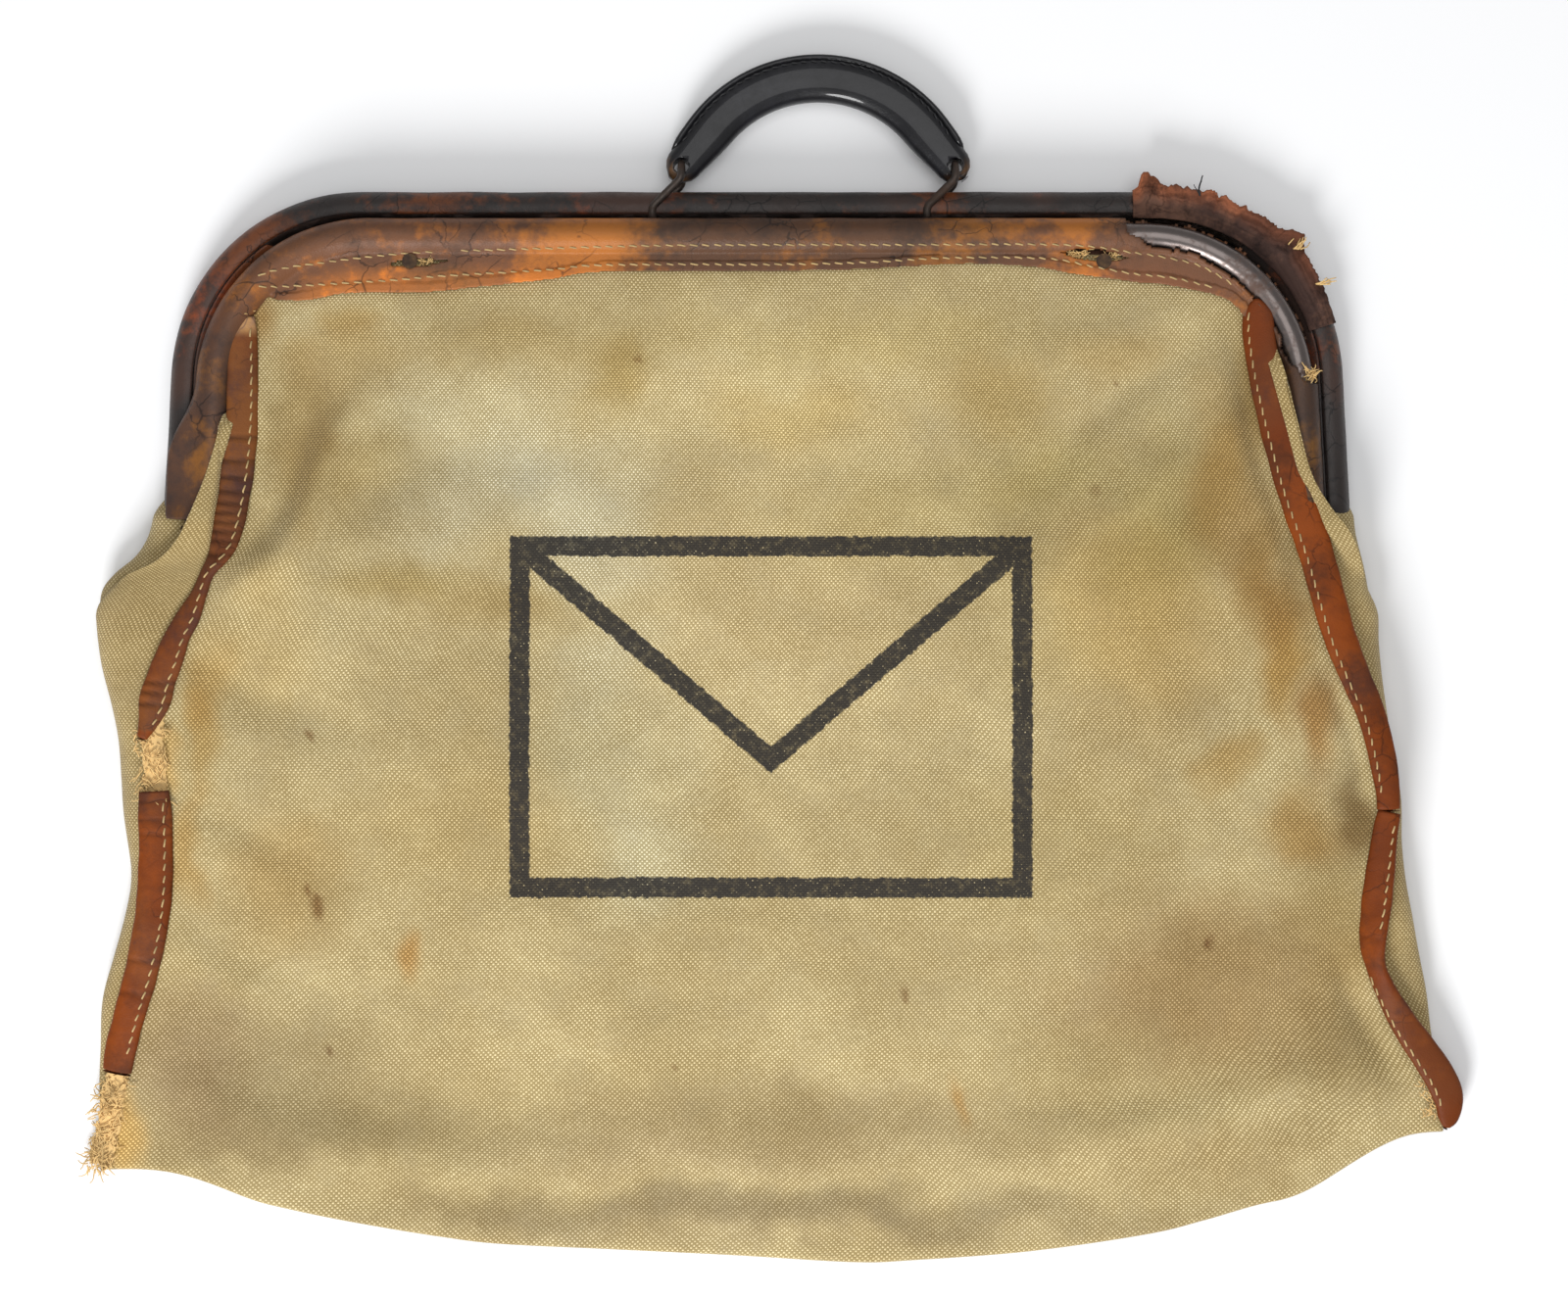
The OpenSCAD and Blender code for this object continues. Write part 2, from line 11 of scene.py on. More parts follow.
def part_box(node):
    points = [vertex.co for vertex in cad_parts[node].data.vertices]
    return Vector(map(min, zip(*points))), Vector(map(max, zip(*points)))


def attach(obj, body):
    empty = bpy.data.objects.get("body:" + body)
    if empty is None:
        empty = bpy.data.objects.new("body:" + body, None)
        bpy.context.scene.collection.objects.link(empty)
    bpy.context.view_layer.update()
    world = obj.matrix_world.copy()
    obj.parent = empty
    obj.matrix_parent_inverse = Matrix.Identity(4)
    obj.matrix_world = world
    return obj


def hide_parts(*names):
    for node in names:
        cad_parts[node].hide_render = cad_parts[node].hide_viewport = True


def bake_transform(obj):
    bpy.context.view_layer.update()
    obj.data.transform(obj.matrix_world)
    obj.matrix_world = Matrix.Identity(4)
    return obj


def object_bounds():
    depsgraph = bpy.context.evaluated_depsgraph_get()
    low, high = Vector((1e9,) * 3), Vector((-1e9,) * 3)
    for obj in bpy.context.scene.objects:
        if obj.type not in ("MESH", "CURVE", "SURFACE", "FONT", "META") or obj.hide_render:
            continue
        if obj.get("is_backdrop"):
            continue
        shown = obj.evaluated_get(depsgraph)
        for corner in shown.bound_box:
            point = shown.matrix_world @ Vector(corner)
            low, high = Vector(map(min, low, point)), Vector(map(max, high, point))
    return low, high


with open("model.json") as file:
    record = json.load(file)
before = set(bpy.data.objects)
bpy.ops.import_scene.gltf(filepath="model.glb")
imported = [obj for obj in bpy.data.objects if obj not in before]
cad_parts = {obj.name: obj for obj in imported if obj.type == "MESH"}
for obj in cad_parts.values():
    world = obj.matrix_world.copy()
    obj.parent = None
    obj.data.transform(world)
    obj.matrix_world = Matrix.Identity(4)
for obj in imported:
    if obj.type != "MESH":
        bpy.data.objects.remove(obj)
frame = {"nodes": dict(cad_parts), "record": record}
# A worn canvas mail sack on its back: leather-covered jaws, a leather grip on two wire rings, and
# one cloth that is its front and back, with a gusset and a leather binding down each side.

CAD_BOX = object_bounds()
random.seed(11)

# ---------------------------------------------------------------- places, from the frame
JOINTS = {joint["name"]: joint for joint in frame["record"]["behaviour"]["joints"]}
HINGE_Y = JOINTS["jaw_open"]["pos_m"][1]
RING_AXIS_Y, RING_AXIS_Z = JOINTS["left_ring_swing"]["pos_m"][1:]
EYE_AXIS_Y, EYE_AXIS_Z = JOINTS["grip_pivot"]["pos_m"][1:]
SPLAY = math.radians(3)
LEATHER_R = 0.0076
LOOK_AT = (0.0115, 0.0044)
VIEW_PLANE_Z = 0.015
CAMERA_AWAY = 1.5
VIEW_WIDTH = 0.6688


class Jaw:
    """The centre line of one jaw, read off its steel tube: legs, round corners and top bar."""

    def __init__(self, node, corner_r, leg_stop):
        low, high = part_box(node)
        self.tube_r = (high[2] - low[2]) / 2
        self.z = (high[2] + low[2]) / 2
        self.bar_y = high[1] - self.tube_r
        self.corner_r = corner_r
        self.half = high[0] - self.tube_r
        bend_y = self.bar_y - corner_r + corner_r * math.sin(SPLAY)
        self.arc_x = self.half - corner_r * math.cos(SPLAY) - (bend_y - low[1]) * math.tan(SPLAY)
        self.leg = (bend_y - leg_stop) / math.cos(SPLAY)
        self.turn = math.pi / 2 - SPLAY
        self.length = 2 * (self.leg + corner_r * self.turn + self.arc_x)

    def at(self, along):
        """Centre and inward direction in plan at a distance along the jaw from its left leg's end."""
        from_middle = along - self.length / 2
        side = 1 if from_middle > 0 else -1
        left_over = abs(from_middle) - self.arc_x
        centre_y = self.bar_y - self.corner_r
        if left_over <= 0:
            return (from_middle, self.bar_y), (0.0, -1.0)
        angle = math.pi / 2 - left_over / self.corner_r
        if angle < SPLAY:
            angle = SPLAY
        out = (math.cos(angle), math.sin(angle))
        x = self.arc_x + self.corner_r * out[0]
        y = centre_y + self.corner_r * out[1]
        past = left_over - self.corner_r * self.turn
        if past > 0:
            x += past * math.sin(SPLAY)
            y -= past * math.cos(SPLAY)
        return (side * x, y), (-side * out[0], -out[1])


REAR = Jaw("rear_jaw", 0.074, HINGE_Y - 0.003)
FRONT = Jaw("front_jaw", 0.066, HINGE_Y + 0.005)


# ---------------------------------------------------------------- curves and small maths
def smooth(x, low, high):
    """0 at low, 1 at high, smooth between them; low may be the larger."""
    t = min(1.0, max(0.0, (x - low) / (high - low)))
    return t * t * (3 - 2 * t)


def catmull(points, fine=12):
    """A smooth curve through given points of any dimension."""
    p = np.array(points, float)
    p = np.vstack([2 * p[0] - p[1], p, 2 * p[-1] - p[-2]])
    out = []
    for i in range(1, len(p) - 2):
        for k in range(fine):
            t = k / fine
            out.append(0.5 * (2 * p[i] + (p[i + 1] - p[i - 1]) * t
                              + (2 * p[i - 1] - 5 * p[i] + 4 * p[i + 1] - p[i + 2]) * t * t
                              + (3 * p[i] - p[i - 1] - 3 * p[i + 1] + p[i + 2]) * t ** 3))
    out.append(p[-2])
    return np.array(out)


def even(curve, step, dims=2):
    """The curve again with points at even steps, measured over its first dims columns."""
    legs = np.linalg.norm(np.diff(curve[:, :dims], axis=0), axis=1)
    run = np.concatenate([[0], np.cumsum(legs)])
    count = max(3, int(round(run[-1] / step)) + 1)
    at = np.linspace(0, run[-1], count)
    return np.stack([np.interp(at, run, curve[:, k]) for k in range(curve.shape[1])], axis=1)


def wobble(*p, scale=1.0, seed=0.0):
    """Smooth noise between -1 and 1."""
    q = [c * scale for c in p] + [0.0] * (3 - len(p))
    return noise.noise(Vector((q[0] + seed * 7.31, q[1] - seed * 3.17, q[2] + seed)))


def mm(points):
    return [tuple(c / 1000 for c in p) for p in points]


# ---------------------------------------------------------------- meshes
def new_piece(name, mesh, material):
    piece = bpy.data.objects.new(name, mesh)
    bpy.context.scene.collection.objects.link(piece)
    mesh.materials.append(material)
    return piece


def grid_piece(name, rows, material, flat=None, tint=None, keep=None, ring=False):
    """A piece from rows of points. flat gives each point its place in the uncut cloth or hide."""
    p = np.array(rows, float)
    n, m = p.shape[:2]
    across = m if ring else m - 1
    mesh = bpy.data.meshes.new(name)
    faces = []
    for r in range(n - 1):
        for c in range(across):
            if keep is None or keep(r, c):
                d = (c + 1) % m
                faces.append((r * m + c, r * m + d, (r + 1) * m + d, (r + 1) * m + c))
    mesh.from_pydata(p.reshape(-1, 3).tolist(), [], faces)
    if flat is None:
        lengths = np.cumsum(np.linalg.norm(np.diff(p, axis=1, prepend=p[:, :1]), axis=2), axis=1)
        runs = np.cumsum(np.linalg.norm(np.diff(p, axis=0, prepend=p[:1]), axis=2), axis=0)
        flat = np.stack([lengths, np.repeat(runs.mean(axis=1, keepdims=True), m, axis=1)], axis=2)
    layer = mesh.uv_layers.new(name="flat")
    loops = np.zeros(len(mesh.loops), int)
    mesh.loops.foreach_get("vertex_index", loops)
    layer.data.foreach_set("uv", np.array(flat, float).reshape(-1, 2)[loops].ravel())
    rest = mesh.uv_layers.new(name="rest")
    rest.data.foreach_set("uv", p[:, :, :2].reshape(-1, 2)[loops].ravel())
    colour = mesh.color_attributes.new("tint", "FLOAT_COLOR", "POINT")
    values = np.ones((n * m, 4))
    if tint is not None:
        values[:, :3] = np.array(tint, float).reshape(-1, 3)
    colour.data.foreach_set("color", values.ravel())
    piece = new_piece(name, mesh, material)
    clean(piece)
    return piece


def clean(piece):
    """Drops loose points, merges doubles and shades the faces smooth."""
    work = bmesh.new()
    work.from_mesh(piece.data)
    bmesh.ops.delete(work, geom=[v for v in work.verts if not v.link_faces], context="VERTS")
    bmesh.ops.remove_doubles(work, verts=work.verts, dist=1e-6)
    work.to_mesh(piece.data)
    work.free()
    for face in piece.data.polygons:
        face.use_smooth = True


def face_up(piece):
    """Turns a sheet over if its faces point down on the whole."""
    total = sum(f.normal.z * f.area for f in piece.data.polygons)
    if total < 0:
        piece.data.flip_normals()


def apply_all(piece):
    bpy.ops.object.select_all(action="DESELECT")
    piece.select_set(True)
    bpy.context.view_layer.objects.active = piece
    for modifier in list(piece.modifiers):
        bpy.ops.object.modifier_apply(modifier=modifier.name)
    piece.select_set(False)


def thicken(piece, thickness, inside=None):
    """Gives a sheet its thickness, under its faces; inside is the material of the new side."""
    wall = piece.modifiers.new("wall", "SOLIDIFY")
    wall.thickness = thickness
    wall.offset = -1
    if inside:
        piece.data.materials.append(inside)
        wall.material_offset = 1
    wall.use_even_offset = False
    apply_all(piece)


def join(pieces, name):
    bpy.ops.object.select_all(action="DESELECT")
    for piece in pieces:
        piece.select_set(True)
    bpy.context.view_layer.objects.active = pieces[0]
    bpy.ops.object.join()
    pieces[0].name = name
    pieces[0].data.name = name
    pieces[0].select_set(False)
    return pieces[0]


def close_ends(rows, tints=()):
    """Adds a row at each end of a ringed grid, with all its points at the end's middle."""
    for end, at in ((0, 0), (-1, len(rows))):
        rows.insert(at, [tuple(np.mean(rows[end], axis=0))] * len(rows[end]))
        if tints:
            tints.insert(at, list(tints[end]))


def sweep(name, path, section, material, tint=None):
    """Runs section(i) -> [(across, up), ...] along a level path of 3-D points, and closes its ends."""
    path = np.array(path, float)
    rows, tints = [], []
    for i, p in enumerate(path):
        ahead = path[min(i + 1, len(path) - 1)] - path[max(i - 1, 0)]
        ahead /= np.linalg.norm(ahead) or 1
        side = np.cross(ahead, (0.0, 0.0, 1.0))
        side /= np.linalg.norm(side) or 1
        top = np.cross(side, ahead)
        row = [p + side * a + top * b for a, b in section(i)]
        rows.append(row)
        if tint is not None:
            tints.append([tint(q) for q in row])
    close_ends(rows, tints)
    piece = grid_piece(name, rows, material, tint=tints or None, ring=True)
    outward(piece)
    return piece


def outward(piece):
    work = bmesh.new()
    work.from_mesh(piece.data)
    bmesh.ops.recalc_face_normals(work, faces=work.faces)
    work.to_mesh(piece.data)
    work.free()


def pill(half_w, half_t, count=16, power=2.6):
    """A rounded strip's section: a superellipse."""
    out = []
    for k in range(count):
        a = 2 * math.pi * k / count
        c, s = math.cos(a), math.sin(a)
        out.append((half_w * math.copysign(abs(c) ** (2 / power), c),
                    half_t * math.copysign(abs(s) ** (2 / power), s)))
    return out


def circle(r, count):
    return [(r * math.cos(2 * math.pi * k / count), r * math.sin(2 * math.pi * k / count))
            for k in range(count)]


# ---------------------------------------------------------------- materials
class Nodes:
    """Short ways to build a node tree."""

    def __init__(self, tree):
        self.tree = tree

    def add(self, kind, **settings):
        node = self.tree.nodes.new(kind)
        for key, value in settings.items():
            setattr(node, key, value)
        return node

    def put(self, value, socket):
        if isinstance(value, bpy.types.NodeSocket):
            self.tree.links.new(value, socket)
        elif value is not None:
            if socket.type == "RGBA" and len(value) == 3:
                value = (*value, 1)
            socket.default_value = value

    def math(self, operation, a, b=None, c=None):
        node = self.add("ShaderNodeMath", operation=operation)
        for value, socket in zip((a, b, c), node.inputs):
            self.put(value, socket)
        return node.outputs[0]

    def noise(self, vector, scale, detail=4.0, rough=0.55, stretch=None):
        if stretch:
            turn = self.add("ShaderNodeMapping")
            self.put(vector, turn.inputs["Vector"])
            turn.inputs["Scale"].default_value = stretch
            vector = turn.outputs[0]
        node = self.add("ShaderNodeTexNoise")
        self.put(vector, node.inputs["Vector"])
        self.put(scale, node.inputs["Scale"])
        node.inputs["Detail"].default_value = detail
        node.inputs["Roughness"].default_value = rough
        return node.outputs["Fac"]

    def band(self, value, low, high):
        """0 below low, 1 above high, smooth between."""
        node = self.add("ShaderNodeMapRange", interpolation_type="SMOOTHSTEP")
        self.put(value, node.inputs[0])
        self.put(low, node.inputs[1])
        self.put(high, node.inputs[2])
        return node.outputs[0]

    def mix(self, fac, a, b, blend="MIX"):
        node = self.add("ShaderNodeMix", data_type="RGBA", blend_type=blend)
        self.put(fac, node.inputs[0])
        self.put(a, node.inputs[6])
        self.put(b, node.inputs[7])
        return node.outputs[2]

    def split(self, vector):
        node = self.add("ShaderNodeSeparateXYZ")
        self.put(vector, node.inputs[0])
        return node.outputs

    def use(self, group, **inputs):
        node = self.add("ShaderNodeGroup")
        node.node_tree = group
        for key, value in inputs.items():
            self.put(value, node.inputs[key])
        return node.outputs

    def bump(self, height, strength, distance, under=None):
        node = self.add("ShaderNodeBump")
        self.put(height, node.inputs["Height"])
        node.inputs["Strength"].default_value = strength
        node.inputs["Distance"].default_value = distance
        if under is not None:
            self.put(under, node.inputs["Normal"])
        return node.outputs[0]


def new_group(name, inputs, outputs):
    group = bpy.data.node_groups.new(name, "ShaderNodeTree")
    for label, kind, value in inputs:
        socket = group.interface.new_socket(label, in_out="INPUT", socket_type="NodeSocket" + kind)
        if value is not None:
            socket.default_value = value
    for label, kind in outputs:
        group.interface.new_socket(label, in_out="OUTPUT", socket_type="NodeSocket" + kind)
    n = Nodes(group)
    return group, n, n.add("NodeGroupInput").outputs, n.add("NodeGroupOutput").inputs


def build_weave():
    """Plain weave: a bump for every thread that passes over, with uneven threads."""
    group, n, given, out = new_group("plain_weave",
        [("Vector", "Vector", None), ("Thread", "Float", 0.001)],
        [("Height", "Float"), ("Over", "Float")])
    drift = n.noise(given["Vector"], 30.0, 2.0)
    shift = n.math("MULTIPLY", n.math("SUBTRACT", drift, 0.5), 0.0030)
    x, y, _ = n.split(given["Vector"])
    rate = n.math("DIVIDE", math.pi, given["Thread"])
    wave_x = n.math("COSINE", n.math("MULTIPLY", n.math("ADD", x, shift), rate))
    wave_y = n.math("COSINE", n.math("MULTIPLY", n.math("SUBTRACT", y, shift), rate))
    product = n.math("MULTIPLY", wave_x, wave_y)
    slub = n.noise(given["Vector"], 1.0, 2.0, stretch=(160, 900, 1))
    n.put(n.math("ADD", n.math("ABSOLUTE", product), n.math("MULTIPLY", slub, 0.5)), out["Height"])
    lively = n.math("MULTIPLY", n.math("SUBTRACT", n.noise(given["Vector"], 480.0, 2.0), 0.5), 1.1)
    n.put(n.band(n.math("ADD", product, lively), 0.05, 0.85), out["Over"])
    return group


def build_grime():
    """Soft blotches at two sizes, as a mask."""
    group, n, given, out = new_group("grime",
        [("Vector", "Vector", None), ("Size", "Float", 20.0), ("Low", "Float", 0.45), ("High", "Float", 0.7)],
        [("Mask", "Float")])
    broad = n.noise(given["Vector"], given["Size"], 5.0, 0.6)
    fine = n.noise(given["Vector"], n.math("MULTIPLY", given["Size"], 9.0), 4.0, 0.6)
    both = n.math("ADD", n.math("MULTIPLY", broad, 0.75), n.math("MULTIPLY", fine, 0.25))
    n.put(n.band(both, given["Low"], given["High"]), out["Mask"])
    return group


def build_hide():
    """Leather grain: small cells, pores and long creases."""
    group, n, given, out = new_group("hide_grain",
        [("Vector", "Vector", None), ("Creases", "Float", 0.5)],
        [("Height", "Float"), ("Crack", "Float")])
    cells = n.add("ShaderNodeTexVoronoi", feature="DISTANCE_TO_EDGE")
    n.put(given["Vector"], cells.inputs["Vector"])
    cells.inputs["Scale"].default_value = 900
    grain = n.band(cells.outputs[0], 0.0, 0.25)
    fine = n.noise(given["Vector"], 1500.0, 3.0)
    lines = n.add("ShaderNodeTexVoronoi", feature="DISTANCE_TO_EDGE")
    bend = n.add("ShaderNodeVectorMath", operation="MULTIPLY_ADD")
    n.put(given["Vector"], bend.inputs[0])
    bend.inputs[1].default_value = (1, 1, 1)
    warp = n.math("MULTIPLY", n.noise(given["Vector"], 90.0, 3.0), 0.012)
    n.put(warp, bend.inputs[2])
    n.put(bend.outputs[0], lines.inputs["Vector"])
    lines.inputs["Scale"].default_value = 75
    crack = n.math("SUBTRACT", 1.0, n.band(lines.outputs[0], 0.0, 0.035))
    patch = n.band(n.noise(given["Vector"], 25.0, 2.0), 0.48, 0.62)
    crack = n.math("MULTIPLY", n.math("MULTIPLY", crack, patch), given["Creases"])
    height = n.math("ADD", n.math("MULTIPLY", grain, 0.35), n.math("MULTIPLY", fine, 0.3))
    n.put(n.math("SUBTRACT", height, crack), out["Height"])
    n.put(crack, out["Crack"])
    return group


WEAVE = build_weave()
GRIME = build_grime()
HIDE = build_hide()


def start_material(name):
    material = bpy.data.materials.new(name)
    material.use_nodes = True
    n = Nodes(material.node_tree)
    shader = material.node_tree.nodes["Principled BSDF"]
    place = n.add("ShaderNodeTexCoord").outputs["Object"]
    return material, n, shader, place


def tinted(n, colour):
    """Multiplies a colour by the tint stored on the piece: its stains and wear, and on some pieces painted
    light and shade.
    """
    paint = n.add("ShaderNodeAttribute", attribute_name="tint")
    return n.mix(1.0, colour, paint.outputs["Color"], "MULTIPLY")


def ink_mask(n, place, centre, half, stroke):
    """A plain envelope outline: a rectangle and its flap, as a mask."""
    x, y, _ = n.split(place)
    across = n.math("ABSOLUTE", n.math("SUBTRACT", x, centre[0]))
    up = n.math("SUBTRACT", y, centre[1])
    edge = n.math("MAXIMUM", n.math("SUBTRACT", across, half[0]),
                  n.math("SUBTRACT", n.math("ABSOLUTE", up), half[1]))
    border = n.math("ABSOLUTE", edge)
    drop = half[1] * 1.25
    length = math.hypot(half[0], drop)
    flap = n.math("ADD", n.math("MULTIPLY", across, -drop / length),
                  n.math("MULTIPLY", n.math("ADD", up, drop - half[1]), half[0] / length))
    flap = n.math("MAXIMUM", n.math("ABSOLUTE", flap), edge)
    near = n.math("MINIMUM", border, flap)
    ragged = n.math("MULTIPLY", n.math("SUBTRACT", n.noise(place, 420.0, 3.0), 0.5), 0.0028)
    near = n.math("ADD", near, ragged)
    return n.math("SUBTRACT", 1.0, n.band(near, stroke / 2 - 0.0004, stroke / 2 + 0.0004))


def canvas_material(name, printed=False):
    material, n, shader, _ = start_material(name)
    flat = n.add("ShaderNodeUVMap", uv_map="flat").outputs[0]
    place = n.add("ShaderNodeUVMap", uv_map="rest").outputs[0]
    height, over = n.use(WEAVE, Vector=flat, Thread=0.00101)
    mottle = n.use(GRIME, Vector=place, Size=13.0, Low=0.38, High=0.66)["Mask"]
    dust = n.use(GRIME, Vector=place, Size=45.0, Low=0.45, High=0.7)["Mask"]
    thread = n.mix(mottle, (0.69, 0.565, 0.315), (0.82, 0.70, 0.42))
    ground = n.mix(mottle, (0.30, 0.222, 0.092), (0.38, 0.295, 0.135))
    colour = n.mix(over, ground, thread)
    colour = n.mix(n.math("MULTIPLY", dust, 0.35), colour, (0.37, 0.295, 0.16))
    colour = tinted(n, colour)
    if printed:
        mask = ink_mask(n, place, INK_CENTRE, INK_HALF, 0.0085)
        worn = n.band(n.noise(place, 260.0, 4.0, 0.7), 0.30, 0.52)
        bare = n.band(n.noise(place, 900.0, 2.0), 0.60, 0.70)
        solid = n.math("SUBTRACT", 1.0, n.math("MULTIPLY", n.math("MULTIPLY", over, bare), 0.7))
        mask = n.math("MULTIPLY", n.math("MULTIPLY", mask, solid), n.math("MULTIPLY_ADD", worn, 0.16, 0.80))
        colour = n.mix(mask, colour, (0.022, 0.020, 0.020))
    n.put(colour, shader.inputs["Base Color"])
    shader.inputs["Roughness"].default_value = 0.92
    shader.inputs["Sheen Weight"].default_value = 0.12
    shader.inputs["Sheen Roughness"].default_value = 0.5
    shader.inputs["Specular IOR Level"].default_value = 0.2
    soft = n.bump(n.noise(place, 60.0, 3.0), 0.25, 0.002)
    n.put(n.bump(height, 0.55, 0.0004, soft), shader.inputs["Normal"])
    return material


def leather_material(name, main, worn, dark, rough, creases=0.5, size=16.0, coat=0.0, wear=(0.46, 0.62),
                     shine=0.28):
    material, n, shader, place = start_material(name)
    height, crack = n.use(HIDE, Vector=place, Creases=creases)
    rubbed = n.use(GRIME, Vector=place, Size=size, Low=wear[0], High=wear[1])["Mask"]
    dirty = n.use(GRIME, Vector=place, Size=size * 2.3, Low=0.46, High=0.68)["Mask"]
    colour = n.mix(rubbed, main, worn)
    colour = n.mix(n.math("MULTIPLY", dirty, 0.7), colour, dark)
    colour = n.mix(n.math("MULTIPLY", crack, 0.85), colour, tuple(c * 0.25 for c in dark))
    n.put(tinted(n, colour), shader.inputs["Base Color"])
    n.put(n.math("MULTIPLY_ADD", dirty, 0.16, rough), shader.inputs["Roughness"])
    shader.inputs["Specular IOR Level"].default_value = shine
    shader.inputs["Coat Weight"].default_value = coat
    shader.inputs["Coat Roughness"].default_value = 0.07
    broad = n.bump(n.noise(place, 130.0, 3.0), 0.35, 0.0009)
    n.put(n.bump(height, 0.4, 0.00025, broad), shader.inputs["Normal"])
    return material


def steel_material(name, colour, rust, amount, rough):
    material, n, shader, place = start_material(name)
    spots = n.use(GRIME, Vector=place, Size=60.0, Low=amount, High=amount + 0.16)["Mask"]
    brush = n.noise(place, 300.0, 4.0, 0.6)
    base = n.mix(n.math("MULTIPLY", brush, 0.5), colour, tuple(c * 0.55 for c in colour))
    n.put(n.mix(spots, base, rust), shader.inputs["Base Color"])
    n.put(n.math("SUBTRACT", 0.95, n.math("MULTIPLY", spots, 0.7)), shader.inputs["Metallic"])
    n.put(n.math("MULTIPLY_ADD", spots, 0.35, rough), shader.inputs["Roughness"])
    n.put(n.bump(brush, 0.25, 0.0002), shader.inputs["Normal"])
    return material


def thread_material(name, colour):
    material, n, shader, place = start_material(name)
    twist = n.noise(place, 1400.0, 3.0)
    tone = n.use(GRIME, Vector=place, Size=80.0, Low=0.4, High=0.7)["Mask"]
    base = n.mix(tone, colour, tuple(c * 0.6 for c in colour))
    n.put(n.mix(n.math("MULTIPLY", twist, 0.4), base, tuple(c * 0.4 for c in colour)),
          shader.inputs["Base Color"])
    shader.inputs["Roughness"].default_value = 0.8
    n.put(n.bump(twist, 0.5, 0.0002), shader.inputs["Normal"])
    return material


INK_CENTRE = (0.006, -0.024)
INK_HALF = (0.106, 0.072)
FRONT_CLOTH = canvas_material("printed_duck_canvas", printed=True)
CLOTH = canvas_material("duck_canvas")
FRONT_HIDE = leather_material("front_frame_hide", (0.135, 0.056, 0.026), (0.360, 0.120, 0.020),
                              (0.045, 0.030, 0.023), 0.44, 0.8, 15.0, wear=(0.49, 0.60), shine=0.22)
REAR_HIDE = leather_material("rear_frame_hide", (0.030, 0.023, 0.021), (0.150, 0.046, 0.016),
                             (0.020, 0.018, 0.018), 0.42, 0.9, 20.0, wear=(0.50, 0.62))
BINDING_HIDE = leather_material("binding_hide", (0.146, 0.030, 0.0045), (0.224, 0.047, 0.005),
                                (0.060, 0.021, 0.010), 0.52, 0.6, 14.0, wear=(0.44, 0.60), shine=0.12)
SUEDE = leather_material("torn_hide_inside", (0.116, 0.055, 0.036), (0.265, 0.115, 0.064),
                         (0.024, 0.015, 0.012), 0.9, 0.5, 34.0, shine=0.1)
GRIP_HIDE = leather_material("grip_hide", (0.008, 0.008, 0.0095), (0.014, 0.014, 0.017),
                             (0.005, 0.005, 0.006), 0.36, 0.15, 20.0, coat=0.35, shine=0.15)
GRIP_CORE_HIDE = leather_material("grip_core_hide", (0.30, 0.15, 0.05), (0.42, 0.24, 0.09),
                                  (0.16, 0.08, 0.04), 0.7, 0.3, 60.0)
FRAME_STEEL = steel_material("frame_steel", (0.165, 0.140, 0.132), (0.090, 0.050, 0.036), 0.48, 0.30)
RING_STEEL = steel_material("ring_steel", (0.075, 0.062, 0.055), (0.045, 0.024, 0.014), 0.42, 0.42)
RIVET_BRASS = steel_material("rivet_brass", (0.12, 0.07, 0.035), (0.035, 0.018, 0.010), 0.46, 0.5)
STRAW_THREAD = thread_material("waxed_thread", (0.54, 0.38, 0.17))
FRAY_THREAD = thread_material("frayed_canvas_thread", (0.78, 0.52, 0.21))
BLACK_THREAD = thread_material("black_thread", (0.018, 0.018, 0.020))


# ---------------------------------------------------------------- the camera


def make_camera():
    data = bpy.data.cameras.new("overhead_camera")
    data.sensor_width = 36.0
    data.lens = 36.0 * CAMERA_AWAY / VIEW_WIDTH
    camera = bpy.data.objects.new("overhead_camera", data)
    camera.location = (*LOOK_AT, VIEW_PLANE_Z + CAMERA_AWAY)
    bpy.context.scene.collection.objects.link(camera)
    bpy.context.scene.camera = camera


# ---------------------------------------------------------------- the cloth's shape
# Seams, by their points from the top of each binding down to the bottom corners, in millimetres.
UP_SPAN = 0.172
LEFT_SEAM = mm([(-217.5, 172), (-220.0, 158), (-221.0, 144), (-220.4, 124), (-220.4, 101), (-222.0, 77),
                (-225.5, 55), (-228.3, 46), (-233.4, 37), (-237.4, 28), (-241.6, 19), (-246.6, 10),
                (-250.4, 0), (-253.8, -9), (-256.4, -18), (-258.3, -28), (-257.6, -42), (-256.6, -58),
                (-256.0, -83), (-257.3, -108), (-261.9, -133), (-266.9, -151), (-271.7, -175),
                (-276.0, -199), (-279.6, -217)])
RIGHT_SEAM = mm([(207.0, 172), (210.0, 162), (212.0, 152), (213.4, 140), (217.2, 117), (223.2, 93),
                 (229.6, 70), (237.6, 47), (247.0, 13), (255.0, -8), (261.0, -22), (265.4, -38),
                 (268.2, -54), (269.0, -63), (267.5, -72), (265.4, -89), (263.2, -106), (262.0, -123),
                 (265.6, -140), (275.0, -157), (285.6, -174), (291.0, -183), (294.0, -192),
                 (293.0, -201)])
BOTTOM = mm([(-279.6, -217), (-260, -219.6), (-235, -225.5), (-210, -231.5), (-185, -237), (-160, -241.6),
             (-135, -245.6), (-110, -248.6), (-60, -251), (-9, -253.5), (41, -256.4), (66, -255.6),
             (116, -251.8), (166, -244.6), (191, -238.5), (216, -231.4), (241, -227.0),
             (266.5, -219.5), (285, -207), (293.0, -201)])
